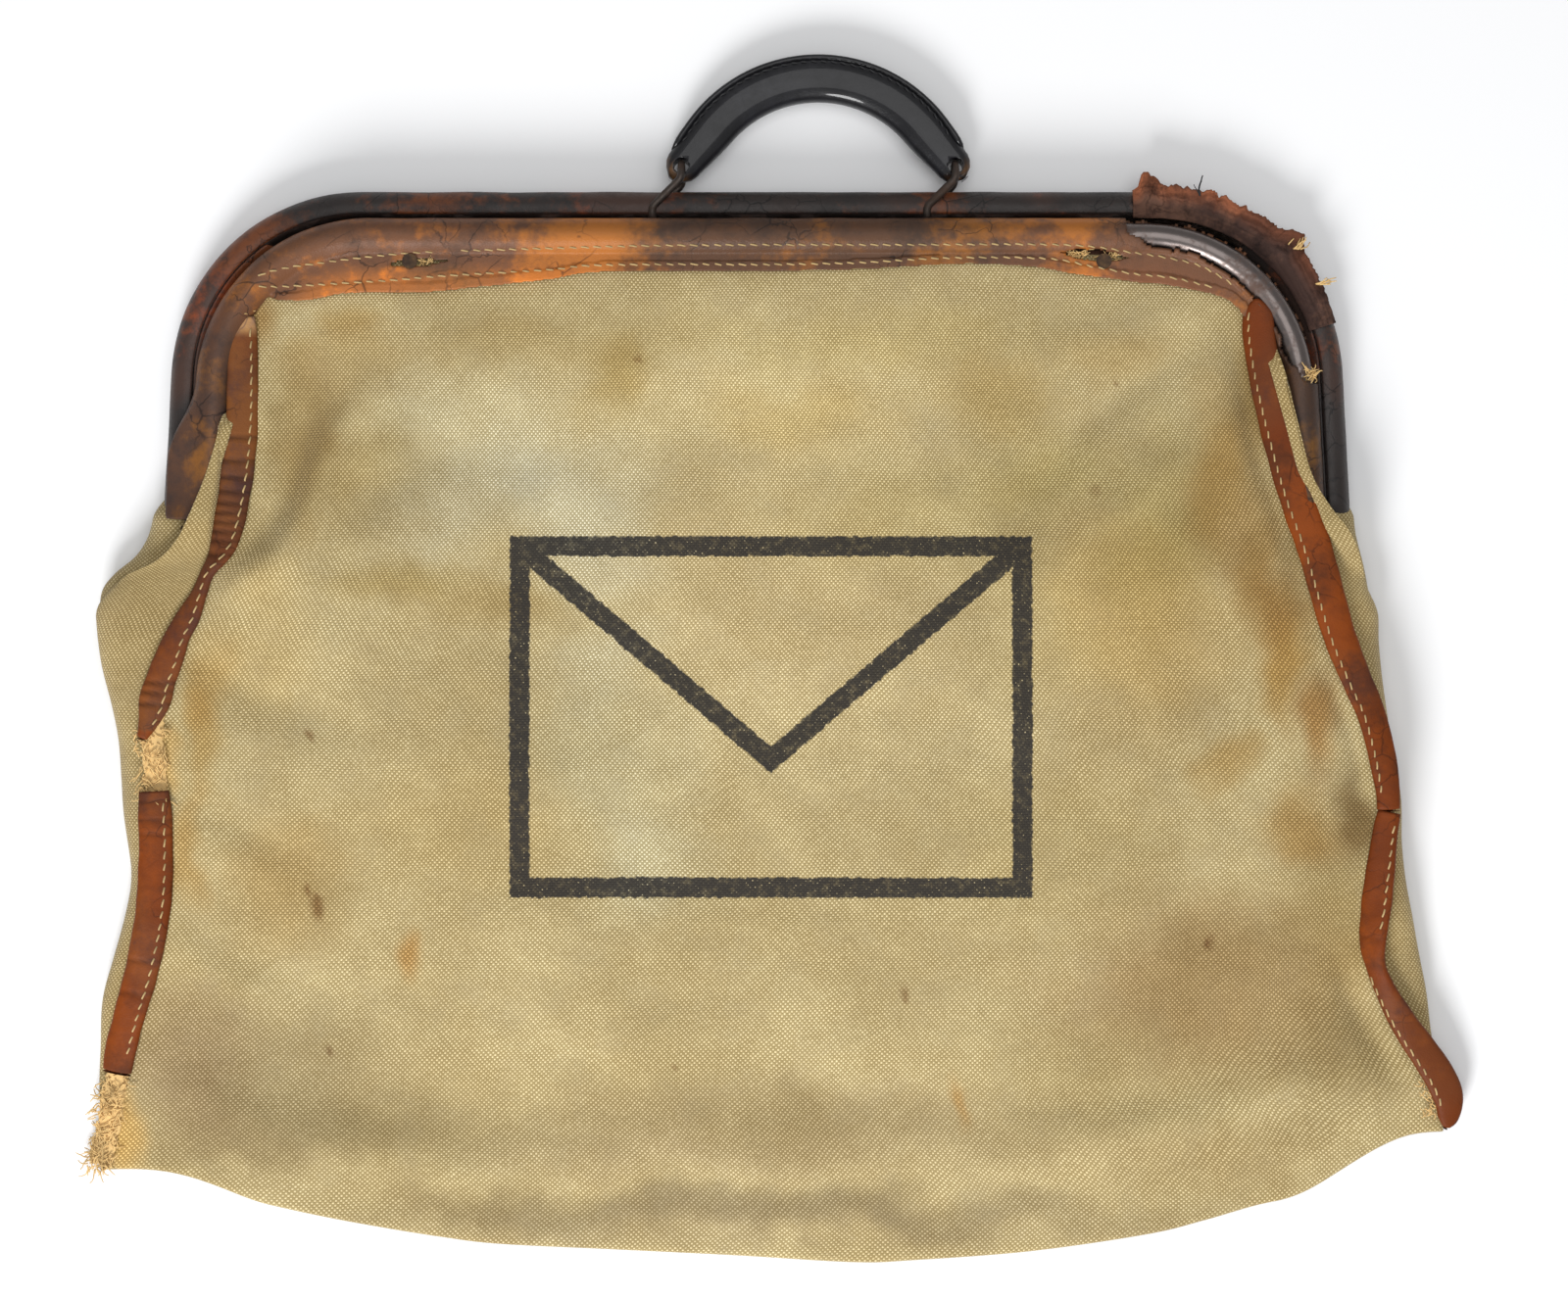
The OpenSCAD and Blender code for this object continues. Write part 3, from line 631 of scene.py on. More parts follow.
SEAM_Z = mm([(172, 22.6), (120, 23.2), (70, 25.5), (40, 26.5), (0, 25.5), (-60, 24), (-110, 21),
             (-150, 15.5), (-180, 9.5), (-205, 4.5), (-220, 3.2)])[::-1]
MIDDLE_Z = mm([(172, 22.6), (158, 23.0), (130, 24.4), (90, 27.0), (54, 29.5), (10, 32.5), (-50, 34.5),
               (-110, 33.5), (-160, 29), (-200, 21), (-228, 12), (-246, 5.5), (-260, 3.2)])[::-1]


def profile(table, y):
    ys = [p[0] for p in table]
    return float(np.interp(y, ys, [p[1] for p in table]))


def drawn_in(points, z=None):
    """Outlines were set out on the plane the camera measures on; this moves them to their own height."""
    out = []
    for x, y, *rest in points:
        high = profile(SEAM_Z, y) if z is None else z
        near = 1 - (high - VIEW_PLANE_Z) / CAMERA_AWAY
        out.append((LOOK_AT[0] + (x - LOOK_AT[0]) * near, LOOK_AT[1] + (y - LOOK_AT[1]) * near, *rest))
    return out


LEFT_SEAM = drawn_in(LEFT_SEAM)
RIGHT_SEAM = drawn_in(RIGHT_SEAM)
LEFT_EDGE = even(catmull(LEFT_SEAM), 0.002)
RIGHT_EDGE = even(catmull(RIGHT_SEAM), 0.002)
BOTTOM = [LEFT_SEAM[-1], *drawn_in(BOTTOM, 0.0025)[1:-1], RIGHT_SEAM[-1]]
BOTTOM_EDGE = even(catmull(BOTTOM), 0.002)

# Soft folds: the points of each, its half width and its height, in millimetres.
FOLDS = [
    ([(-225, 30), (-212, 36), (-200, 46), (-190, 63), (-184, 81), (-176, 98), (-162, 116)], 8, 4.4),
    ([(-222, 50), (-212, 54), (-204, 65), (-198, 81), (-195, 98), (-191, 116), (-189, 138)], 9, -4.6),
    ([(-214, 122), (-210, 96), (-213, 74)], 6, 2.6), ([(-176, 60), (-150, 78), (-112, 98)], 12, -2.4),
    ([(-150, 26), (-104, 58), (-62, 96)], 14, 2.2),
    ([(196, 146), (175, 128), (153, 113), (134, 95), (117, 72), (103, 51)], 9, -4.4),
    ([(214, 108), (179, 84), (146, 58), (126, 26)], 12, 3.4), ([(190, 160), (150, 140), (110, 128)], 9, 2.4),
    ([(203, 142), (208, 112), (216, 84), (228, 50), (236, 16)], 7, -4.4),
    ([(243, -4), (255, -34), (260, -62)], 6, -3.6), ([(250, -128), (257, -148), (272, -174)], 8, -4.4),
    ([(248, -120), (214, -160), (160, -186)], 12, -2.8), ([(236, -176), (190, -196), (120, -206)], 10, 2.2),
    ([(-262, -150), (-220, -172), (-150, -190), (-40, -200)], 15, -2.4),
    ([(-250, -186), (-190, -206), (-90, -226)], 11, 2.4), ([(60, -196), (140, -190), (220, -180)], 13, -2.2),
    ([(-244, -60), (-214, -72), (-184, -90)], 9, -2.2), ([(-252, 8), (-212, -14), (-170, -30)], 11, -2.8),
    ([(-60, 40), (-20, 70), (20, 96)], 18, 1.6), ([(-250, -122), (-220, -138), (-190, -150)], 9, 2.0),
    ([(-130, -60), (-60, -96), (40, -110)], 20, -1.4), ([(60, 30), (110, -20), (180, -50)], 18, 1.5)]


def across_at(edge, y):
    """x of a seam at a height y."""
    return float(np.interp(-y, -edge[:, 1], edge[:, 0]))


def fold_z(x, y):
    total = 0.0
    for points, width, height in FOLDS:
        best, where = 1.0, 0.0
        for k in range(len(points) - 1):
            ax, ay = points[k][0] / 1000, points[k][1] / 1000
            dx, dy = points[k + 1][0] / 1000 - ax, points[k + 1][1] / 1000 - ay
            t = min(1.0, max(0.0, ((x - ax) * dx + (y - ay) * dy) / (dx * dx + dy * dy)))
            off = math.hypot(x - ax - t * dx, y - ay - t * dy)
            if off < best:
                best, where = off, (k + t) / (len(points) - 1)
        w = width / 1000
        if best < 3 * w:
            fade = 0.35 + 0.65 * math.sin(math.pi * where) ** 0.6
            total += height / 1000 * math.exp(-(best / w) ** 2) * fade
    return total


def cloth_z(x, y, u, t):
    """Height of the front cloth; u is -1 to 1 between the seams, t is 0 to 1 down the cloth."""
    y_middle = UP_SPAN - t * 0.428
    y_side = UP_SPAN - t * 0.388
    low = profile(SEAM_Z, y_side)
    high = profile(MIDDLE_Z, y_middle)
    z = low + (high - low) * (1 - abs(u) ** 2.3)
    free = smooth(t, 0.02, 0.14) * (1 - smooth(t, 0.93, 1.0)) * (1 - smooth(abs(u), 0.94, 1.0) * 0.75)
    lumps = fold_z(x, y) + 0.0016 * wobble(x, y, scale=22, seed=2)
    z += (lumps + 0.0007 * wobble(x, y, scale=60, seed=5)) * free
    return max(z, 0.0022)


# Stains and painted light: place and half sizes in millimetres, then how much red, green and blue is left.
STAINS_AND_PAINTED_LIGHT = [
    (-118, 100, 44, 30, 1.06, 1.14, 1.32), (-84, 74, 34, 24, 1.08, 1.16, 1.36),
    (-70, 30, 26, 40, 1.06, 1.12, 1.26), (-142, 60, 22, 20, 1.08, 1.14, 1.30),
    (-60, -40, 32, 56, 1.05, 1.12, 1.24), (-40, -92, 26, 20, 1.06, 1.12, 1.24),
    (-168, 122, 34, 14, 0.78, 0.70, 0.58), (-160, 80, 22, 20, 0.84, 0.80, 0.70),
    # The brown patch at (-192, 92) darkens the valley of the left fold.
    (-192, 92, 10, 30, 0.74, 0.66, 0.52), (-110, 130, 26, 14, 0.86, 0.80, 0.68),
    (-152, 34, 26, 10, 0.84, 0.78, 0.62), (-92, 22, 50, 10, 0.88, 0.82, 0.70),
    (-40, 138, 60, 12, 0.92, 0.90, 0.84), (60, 136, 60, 14, 0.96, 0.94, 0.84),
    (20, 104, 34, 18, 0.92, 0.86, 0.72), (100, 112, 26, 14, 0.90, 0.84, 0.70),
    (172, 60, 22, 40, 0.84, 0.82, 0.68), (150, 20, 46, 40, 0.95, 0.92, 0.78),
    (120, 80, 30, 20, 0.94, 0.94, 0.82), (196, 78, 14, 34, 0.78, 0.64, 0.44),
    (212, 118, 10, 28, 0.62, 0.54, 0.40), (214, 40, 12, 30, 0.72, 0.58, 0.40),
    (222, 0, 10, 36, 0.80, 0.62, 0.38), (240, -28, 9, 24, 0.70, 0.50, 0.32),
    (232, -72, 16, 14, 0.78, 0.64, 0.46), (196, -46, 12, 8, 0.84, 0.72, 0.54),
    (236, 60, 8, 34, 0.58, 0.50, 0.38), (254, -66, 8, 18, 0.50, 0.42, 0.32),
    (244, -110, 16, 30, 0.86, 0.82, 0.72), (204, -136, 54, 34, 0.80, 0.76, 0.66),
    (252, -168, 26, 22, 0.72, 0.68, 0.60), (160, -176, 60, 26, 0.84, 0.82, 0.76),
    (70, -200, 90, 16, 0.82, 0.80, 0.74), (-60, -192, 100, 16, 0.86, 0.85, 0.80),
    (-150, -206, 60, 16, 0.80, 0.79, 0.76), (-212, -184, 60, 38, 0.67, 0.65, 0.63),
    (-230, -204, 34, 16, 0.80, 0.77, 0.73), (20, -236, 150, 10, 0.74, 0.73, 0.72),
    (200, -214, 50, 14, 0.82, 0.78, 0.72), (-130, -232, 60, 10, 0.78, 0.76, 0.72),
    (-208, 10, 20, 34, 1.04, 1.0, 0.92), (-236, -30, 8, 26, 0.92, 0.80, 0.60),
    (-258, -42, 9, 15, 1.20, 0.98, 0.66), (-276, -200, 9, 20, 1.20, 0.98, 0.66),
    (-240, -78, 7, 20, 0.90, 0.76, 0.56), (-200, -96, 26, 22, 0.94, 0.86, 0.74),
    # Painted light: the lighter patches at (10, 118), (10, 20), (-97, 105), (-168, 124) and (160, 10) make
    # the cloth's crown lighter towards the top middle. The darker patches at (190, -138), (-10, -241), (-242,
    # -172) and (0, -200) make the cloth darker towards the bottom.
    (-146, -126, 6, 9, 0.92, 0.70, 0.48), (10, 118, 95, 34, 1.34, 1.38, 1.46),
    (10, 20, 80, 60, 1.19, 1.19, 1.22), (-97, 105, 40, 26, 1.16, 1.16, 1.16),
    (-168, 124, 30, 22, 1.12, 1.15, 1.20), (160, 10, 40, 40, 1.10, 1.04, 1.0),
    (190, -138, 60, 36, 0.88, 0.80, 0.78), (-10, -241, 150, 14, 0.82, 0.81, 0.84),
    (-242, -172, 26, 30, 0.86, 0.80, 0.80), (0, -200, 130, 20, 0.92, 0.91, 0.97),
    (-62, 124, 14, 18, 0.84, 0.77, 0.60), (-232, -6, 10, 22, 0.95, 0.84, 0.66),
    (-171, 139, 12, 10, 0.82, 0.72, 0.56), (84, -186, 4, 12, 0.94, 0.76, 0.56),
    (-214, 140, 10, 14, 0.72, 0.58, 0.42), (60, 60, 50, 24, 0.98, 0.97, 0.88),
    (120, -80, 50, 30, 0.95, 0.93, 0.86), (-130, -70, 50, 30, 0.98, 0.95, 0.88),
    (150, 128, 26, 10, 0.86, 0.80, 0.70)]
SPECKS = [
    (-188, -104, 3.0, 0.42), (-194, -101, 1.8, 0.40), (-193, -34, 2.4, 0.45), (192, -124, 1.8, 0.35),
    (-58, 130, 1.6, 0.5), (208, 121, 1.6, 0.4), (136, 66, 3.5, 0.7), (-190, -170, 2.0, 0.5),
    (216, 76, 1.4, 0.45), (150, 118, 1.2, 0.5), (-40, -170, 1.5, 0.55), (60, -140, 1.3, 0.5)]


def stain_and_painted_light(x, y):
    colour = np.ones(3)
    bend_x = x + 0.012 * wobble(x, y, scale=24, seed=9) + 0.004 * wobble(x, y, scale=90, seed=3)
    bend_y = y + 0.012 * wobble(x, y, scale=24, seed=4) + 0.004 * wobble(x, y, scale=90, seed=8)
    for cx, cy, rx, ry, *left in STAINS_AND_PAINTED_LIGHT:
        d = math.hypot((bend_x * 1000 - cx) / rx, (bend_y * 1000 - cy) / ry)
        if d < 1.6:
            colour *= 1 + (np.array(left) - 1) * (1 - smooth(d, 0.25, 1.6))
    for cx, cy, r, left in SPECKS:
        d = math.hypot(bend_x * 1000 - cx - 4, bend_y * 1000 - cy) / r
        if d < 1.5:
            colour *= 1 + (left - 1) * (1 - smooth(d, 0.5, 1.5)) * np.array((0.8, 1.0, 1.15))
    return colour


# ---------------------------------------------------------------- the cloth
def bend_at_hinge(piece):
    """Bakes the piece's placement into its points."""
    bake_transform(piece)


CLOTH_T = 0.0012
THIN_CLOTH_T = 0.00096
FRONT_ROWS = 208
FRONT_COLS = 250


def front_rows():
    """Points of the front cloth from under the facing to the bottom fold."""
    rows, tints, flats = [], [], []
    for r in range(FRONT_ROWS + 1):
        t = r / FRONT_ROWS
        row, tint, flat = [], [], []
        for c in range(FRONT_COLS + 1):
            u = 2 * c / FRONT_COLS - 1
            left_y = UP_SPAN - t * (UP_SPAN - BOTTOM[0][1])
            right_y = UP_SPAN - t * (UP_SPAN - BOTTOM[-1][1])
            left_x = across_at(LEFT_EDGE, left_y)
            right_x = across_at(RIGHT_EDGE, right_y)
            share = (u + 1) / 2
            x = left_x + (right_x - left_x) * share
            low_x = BOTTOM[0][0] + (BOTTOM[-1][0] - BOTTOM[0][0]) * share
            low_y = float(np.interp(low_x, BOTTOM_EDGE[:, 0], BOTTOM_EDGE[:, 1]))
            y = UP_SPAN + (low_y - UP_SPAN) * t
            chord = left_y + (right_y - left_y) * share
            side_pull = smooth(abs(u), 0.75, 1.0)
            y = y * (1 - side_pull) + chord * side_pull
            corner = max(0.0, abs(x) - FRONT.arc_x)
            if corner and y > FRONT.bar_y - FRONT.corner_r:
                room = (FRONT.corner_r - 0.0035) ** 2 - corner ** 2
                y = min(y, FRONT.bar_y - FRONT.corner_r + math.sqrt(max(room, 0.0)))
            row.append((x, y, cloth_z(x, y, u, t)))
            tint.append(stain_and_painted_light(x, y))
            flat.append((u * 0.262, y))
        rows.append(row)
        tints.append(tint)
        flats.append(flat)
    return rows, tints, flats


def make_front_canvas():
    rows, tints, flats = front_rows()
    for depth, drop in ((0.0006, 0.0012), (0.0002, 0.0022)):
        last = [(x, y - depth, max(z - drop, 0.0008)) for x, y, z in rows[-1]]
        rows.append(last)
        tints.append(tints[-1])
        flats.append([(a, b - 0.0015) for a, b in flats[-1]])
    piece = grid_piece("front_canvas", rows, FRONT_CLOTH, flats, tints)
    face_up(piece)
    thicken(piece, CLOTH_T, CLOTH)
    bend_at_hinge(piece)
    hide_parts("front_panel", "front_panel_top")
    return rows


def back_x(side, y):
    """Where the back cloth ends: at the seam below, under the jaw's leg above."""
    seam = across_at(LEFT_EDGE if side < 0 else RIGHT_EDGE, y) + side * 0.002
    inset = 0.004 + 0.005 * smooth(y, 0.125, 0.150)
    centre_y = REAR.bar_y - REAR.corner_r
    leg = REAR.half - (y - HINGE_Y) * math.tan(SPLAY) - inset
    if y > centre_y:
        leg = REAR.arc_x + math.sqrt((REAR.corner_r - inset) ** 2 - (y - centre_y) ** 2)
    under = smooth(y, 0.024, 0.062)
    return seam * (1 - under) + side * leg * under


def make_back_canvas(front):
    """The back of the same cloth: it starts at the bottom fold and runs up into the rear skirt."""
    top_y = REAR.bar_y - 0.0095
    rows, flats, tints = [], [], []
    fold = front[-1]
    for r in range(121):
        t = r / 120
        row, flat, tint = [], [], []
        for c in range(0, len(fold), 2):
            x0, y0, _ = fold[c]
            share = c / (len(fold) - 1)
            y = y0 + (top_y - y0) * t
            x_free = back_x(-1, y) + (back_x(1, y) - back_x(-1, y)) * share
            blend = smooth(t, 0.0, 0.08)
            x = x0 * (1 - blend) + x_free * blend
            lift = smooth(y, 0.135, 0.174) * (REAR.z - 0.0006)
            z = 0.0004 + lift + (0.0006 + 0.0006 * wobble(x, y, scale=30, seed=6)) * smooth(t, 0, 0.05)
            row.append((x, y, max(z, 0.0004)))
            flat.append((share * 0.52, y))
            tint.append(0.92 * stain_and_painted_light(-x * 0.9, y * 0.9 - 0.02))
        rows.append(row)
        flats.append(flat)
        tints.append(tint)
    piece = grid_piece("back_canvas", rows, CLOTH, flats, tints)
    face_up(piece)
    piece.data.flip_normals()
    thicken(piece, THIN_CLOTH_T)
    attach(piece, "sack")
    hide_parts("back_panel")


# Gussets: how far each bulges out, by height, in millimetres.
LEFT_BULGE = mm([(70, -256), (54, -259), (44, -265), (36, -275), (28, -281), (14, -281.5), (0, -279.5),
                 (-20, -275), (-45, -271), (-75, -268), (-92, -267), (-108, -269.5), (-128, -275),
                 (-145, -279), (-165, -280.5), (-185, -281), (-205, -281.5), (-217, -281)])
RIGHT_BULGE = mm([(70, 255), (54, 256), (36, 261), (20, 264.6), (6, 265), (-8, 266), (-30, 270),
                  (-55, 273), (-75, 274), (-92, 276.5), (-108, 279.5), (-124, 282.5), (-140, 285),
                  (-155, 287), (-170, 290), (-185, 294), (-201, 294)])
# The fold that the gusset makes over the jaw's leg: x by height, in millimetres.
LEFT_LIP = mm([(-219.0, 112), (-227.0, 106), (-231.7, 91), (-238.0, 72), (-244.7, 57), (-251.5, 48),
               (-260.0, 41), (-270.0, 37), (-279.0, 30), (-282.0, 22)])
RIGHT_LIP = mm([(214.0, 141), (221.0, 135), (226.6, 116), (231.6, 98), (237.0, 79), (245.0, 65),
                (254.0, 54), (259.5, 42), (263.6, 24)])


def seam_point(edge, y):
    """A place on the front seam and the height of the cloth there."""
    x = across_at(edge, y)
    return x, profile(SEAM_Z, y)


def gusset_rows(side):
    edge = LEFT_EDGE if side < 0 else RIGHT_EDGE
    lip = even(catmull(drawn_in(LEFT_LIP if side < 0 else RIGHT_LIP, 0.031)), 0.002)
    bulge = even(catmull([(b, a) for a, b in (LEFT_BULGE if side < 0 else RIGHT_BULGE)]), 0.002)
    top_y = lip[0][1]
    low_y = edge[-1][1] + 0.004
    rows, tints = [], []
    for r in range(150):
        t = r / 149
        y = top_y + (low_y - top_y) * t
        x0, z0 = seam_point(edge, y)
        x0 -= side * 0.001
        z0 -= 0.0012
        closed = 1 - smooth(y, 0.018, 0.046)
        lip_x = float(np.interp(-y, -lip[:, 1], lip[:, 0]))
        out_x = float(np.interp(-y, -bulge[:, 1], bulge[:, 0]))
        row, tint = [], []
        for c in range(29):
            a = c / 28
            turn = math.pi * a
            reach = abs(out_x - x0)
            wide = math.sin(turn) ** 0.75 if 0 < a < 1 else 0.0
            mid = (z0 + 0.0018) / 2
            rise = z0 - mid
            closed_p = (x0 + side * (reach * wide + 0.002 * a), mid + rise * math.cos(turn))
            over = smooth(y, 0.040, 0.060)
            crest = FRONT.z + 0.0094 if over else z0
            span = abs(lip_x - x0)
            if a < 0.7:
                s = a / 0.7
                open_x = x0 + side * span * s
                climb = over * smooth(span * s, 0.0050, 0.0092)
                open_z = z0 + (crest - z0) * climb - 0.0012 * over * (1 - climb)
            else:
                s = (a - 0.7) / 0.3
                open_x = lip_x + side * 0.0012 * math.sin(s * math.pi) - side * 0.005 * s
                climb = over * smooth(span, 0.0050, 0.0092)
                open_z = z0 + (crest - z0) * climb - 0.0012 * over * (1 - climb)
                open_z = open_z - 0.0030 * s - 0.009 * (1 - over) * s
            x = closed_p[0] * closed + open_x * (1 - closed)
            z = closed_p[1] * closed + open_z * (1 - closed)
            ripple = math.sin(turn) * 0.0012
            z += ripple * wobble(x, y, z, scale=40, seed=3)
            x += ripple * side * wobble(y, z, scale=34, seed=12)
            row.append((x, y, max(z, 0.0016)))
            shade = 0.84 + 0.12 * wobble(x, y, scale=30, seed=1)
            tint.append((shade, shade * 0.94, shade * 0.84))
        rows.append(row)
        tints.append(tint)
    return rows, tints


def make_gusset(side, word):
    rows, tints = gusset_rows(side)
    piece = grid_piece(word + "_gusset_canvas", rows, CLOTH, None, tints)
    face_up(piece)
    thicken(piece, THIN_CLOTH_T)
    bend_at_hinge(piece)
    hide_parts(word + "_gusset")


def make_gusset_back(side, word):
    """The layer of the gusset that stays with the rear jaw, under and outside its leg."""
    bulge = even(catmull([(b, a) for a, b in (LEFT_BULGE if side < 0 else RIGHT_BULGE)]), 0.002)
    rows, tints = [], []
    for r in range(40):
        t = r / 39
        y = 0.076 - t * 0.062
        out_x = float(np.interp(-y, -bulge[:, 1], bulge[:, 0]))
        out_x -= side * 0.0016 * (1 - smooth(y, 0.02, 0.05))
        in_x = side * (REAR.half - 0.016)
        row = []
        for c in range(25):
            a = c / 24
            turn = math.pi * a
            grow = smooth(0.076 - y, 0.0, 0.016)
            x = in_x + (out_x - in_x) * (math.sin(turn) ** 0.7 if 0 < a < 1 else 0) * (0.75 + 0.25 * grow)
            z = 0.0105 + (0.0088 * math.cos(turn)) * (0.35 + 0.65 * grow) - 0.0048 * (1 - grow)
            if a < 0.5:
                z = min(z, 0.0024 + 0.017 * grow)
            row.append((x, y, max(z, 0.0016)))
        rows.append(row)
        tints.append([(0.80, 0.77, 0.72)] * 25)
    piece = grid_piece(word + "_gusset_back_layer", rows, CLOTH, None, tints)
    face_up(piece)
    thicken(piece, THIN_CLOTH_T)
    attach(piece, "sack")
    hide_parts(word + "_gusset_fold")


# ---------------------------------------------------------------- the leather on the jaws
# The lower edge of the front facing, and its two rows of stitches, in millimetres.
FACING_EDGE = mm([(-228, 143), (-222, 147), (-216, 151.0), (-210, 153.2), (-203, 153.8),
                  (-195, 153.6), (-188, 154.6), (-173, 157.0), (-144, 157.2), (-120, 159.4),
                  (-89, 162.8), (-69, 166.0), (-36, 166.4), (4, 166.4), (44, 167.2), (84, 169.4),
                  (95, 169.5), (118, 168.2), (134, 165.3), (161, 161.8), (177, 160.0), (195, 156.4),
                  (204, 151.8), (210, 144), (214, 136)])
UPPER_ROW = mm([(-213, 162.9), (-207, 165.3), (-191, 168.7), (-162, 172.4), (-138, 174.1), (-89, 175.4),
                (-49, 176.4), (0, 176.8), (58, 176.8), (130, 176.8), (161, 173.7), (177, 171.2),
                (189, 168.2), (200, 162.2), (205, 158.2)])
LOWER_ROW = mm([(-213, 158.8), (-191, 159.9), (-156, 162.0), (-135, 163.8), (-89, 166.4), (-72, 168.2),
                (-36, 168.8), (4, 168.7), (44, 169.5), (84, 171.6), (124, 171.2), (144, 167.6),
                (161, 164.7), (177, 163.0), (195, 158.9)])
EDGE_CURVE = even(catmull(drawn_in(FACING_EDGE, 0.026)), 0.001)
BAND_TOP = 0.0030
HIDE_T = 0.0016
TORN_HIDE_T = 0.0013
TORN_FROM_X = 0.156
TORN_TO_Y = 0.118
SLITS = [(-0.1445, 0.1680, 0.0125, 0.0018, 0.06), (0.1425, 0.1712, 0.0140, 0.0024, -0.08)]


def facing_width(p, inward):
    """How far the facing reaches inward from the jaw's centre line."""
    for k in range(10, 80):
        w = k * 0.0005
        x, y = p[0] + inward[0] * w, p[1] + inward[1] * w
        if y < float(np.interp(x, EDGE_CURVE[:, 0], EDGE_CURVE[:, 1])) or not -0.2285 < x < 0.214:
            return w
    return 0.040


def hide_section(width, r, band_top, count=54):
    """(inward, up) points of the leather from its inner edge over the tube to its underside."""
    band_share = smooth(width, 0.0078, 0.0115)
    out = []
    band_count = 22
    for k in range(count):
        if k < band_count:
            s = k / band_count
            n = width + (0.0054 - width) * s
            z = band_top + 0.0022 * smooth(n, 0.0082, 0.0054)
            wrap_a = math.radians(-64 + (48 + 64) * s)
        else:
            s = (k - band_count) / (count - 1 - band_count)
            a = math.radians(48 + s * 242)
            n, z = r * math.cos(a), r * math.sin(a)
            wrap_a = a
        wn, wz = r * math.cos(wrap_a), r * math.sin(wrap_a)
        out.append((wn * (1 - band_share) + n * band_share, wz * (1 - band_share) + z * band_share))
    return out


def in_slit(x, y):
    for cx, cy, half_l, half_w, slope in SLITS:
        across = (x - cx) / half_l
        if abs(across) < 1:
            limit = half_w * (1 - across * across) * (1 + 0.4 * wobble(x, scale=500, seed=2))
            if abs(y - cy - slope * (x - cx)) < limit:
                return True
    return False


def front_torn(x, y, n, z):
    """Whether the front jaw's leather is gone here, so that its steel shows."""
    if x < TORN_FROM_X or y < TORN_TO_Y:
        return False
    near_end = min(x - TORN_FROM_X if y > 0.15 else 1, y - TORN_TO_Y)
    ragged = 0.0011 * wobble(x, y, scale=260, seed=4) + 0.0008 * wobble(x, y, scale=700, seed=1)
    reach = 0.0064 * smooth(near_end, 0.0, 0.012) + ragged
    return -0.012 < n < reach and z > -0.0035 + 3 * ragged


def hide_tint(x, y, n):
    """Paler, redder leather where it is rubbed: along the facing's edge and the tube's crown."""
    rub = 0.5 + 0.5 * wobble(x, y, scale=30, seed=7)
    edge = smooth(n, 0.010, 0.020)
    top = 1 - smooth(abs(n + 0.003), 0.001, 0.006)
    warm = np.array((1.35, 1.18, 1.0))
    grey = np.array((0.62, 0.66, 0.74))
    colour = 1.13 * (1 + (warm - 1) * edge * (0.4 + rub))
    colour *= 1 + (grey - 1) * top * (0.5 + 0.5 * wobble(x, y, scale=16, seed=3))
    ruddy = edge * smooth(-x, 0.085, 0.125) * (1 - smooth(-x, 0.205, 0.220))
    dull = 1 - smooth(abs(x - 0.030), 0.060, 0.100)
    leg = smooth(-x, 0.222, 0.230)
    for tone, share in (((1.82, 1.68, 1.02), ruddy), ((0.64, 0.70, 0.74), dull), ((1.42, 1.32, 1.30), leg)):
        colour *= 1 + (np.array(tone) - 1) * share
    return colour


LEG_SOOT = np.array((0.40, 0.50, 0.66))


def make_front_leather():
    rows, tints, info = [], [], []
    count = int(FRONT.length / 0.0012)
    for i in range(count + 1):
        p, inward = FRONT.at(FRONT.length * i / count)
        on_leg = p[1] < FRONT.bar_y - FRONT.corner_r
        width = 0.0075 if on_leg else facing_width(p, inward)
        ruffle = 1 + 0.03 * wobble(p[0], p[1], scale=60, seed=5)
        row, tint = [], []
        flare = smooth(p[1], 0.118, 0.084) * smooth(p[1], 0.046, 0.062) if p[0] < 0 else 0.0
        for n, z in hide_section(width, LEATHER_R * ruffle, BAND_TOP):
            if n < 0:
                z *= 1 - 0.58 * flare * smooth(-n, 0.0, 0.006)
                n *= 1 + 1.35 * flare
            x, y = p[0] + inward[0] * n, p[1] + inward[1] * n
            lift = 0.0
            if width > 0.012 and n > width - 0.004:
                lift = 0.0005 * (1 + wobble(x, y, scale=120, seed=6))
            row.append((x, y, FRONT.z + z + lift))
            end = smooth(p[1], HINGE_Y + 0.005, HINGE_Y + 0.03) if on_leg else 1.0
            turn = smooth(FRONT.bar_y - p[1], 0.012, 0.060)
            tint.append(hide_tint(x, y, n) * (1 + (LEG_SOOT - 1) * turn) * (0.7 + 0.3 * end))
            info.append((x, y, n, z))
        rows.append(row)
        tints.append(tint)
    m = len(rows[0])

    def keep(r, c):
        x, y, n, z = info[r * m + c]
        return not front_torn(x, y, n, z) and not (n > 0.003 and z > 0 and in_slit(x, y))

    piece = grid_piece("front_frame_leather", rows, FRONT_HIDE, None, tints, keep)
    face_up(piece)
    thicken(piece, HIDE_T)
    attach(piece, "front_frame")
    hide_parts("front_jaw_leather")


def make_front_facing_inside():
    """The second layer of the facing, under the canvas at the mouth."""
    rows = []
    for i in range(161):
        x = -0.198 + 0.396 * i / 160
        top = FRONT.bar_y - 0.0055
        if abs(x) > FRONT.arc_x:
            rise = math.sqrt((FRONT.corner_r - 0.0055) ** 2 - (abs(x) - FRONT.arc_x) ** 2)
            top = FRONT.bar_y - FRONT.corner_r + rise
        low = float(np.interp(x, EDGE_CURVE[:, 0], EDGE_CURVE[:, 1])) + 0.001
        rows.append([(x, top + (low - top) * k / 14, FRONT.z - 0.0026 + 0.0002 * wobble(x, k, scale=40))
                     for k in range(15)])
    piece = grid_piece("front_inner_facing", rows, SUEDE)
    face_up(piece)
    thicken(piece, HIDE_T)
    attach(piece, "front_frame")


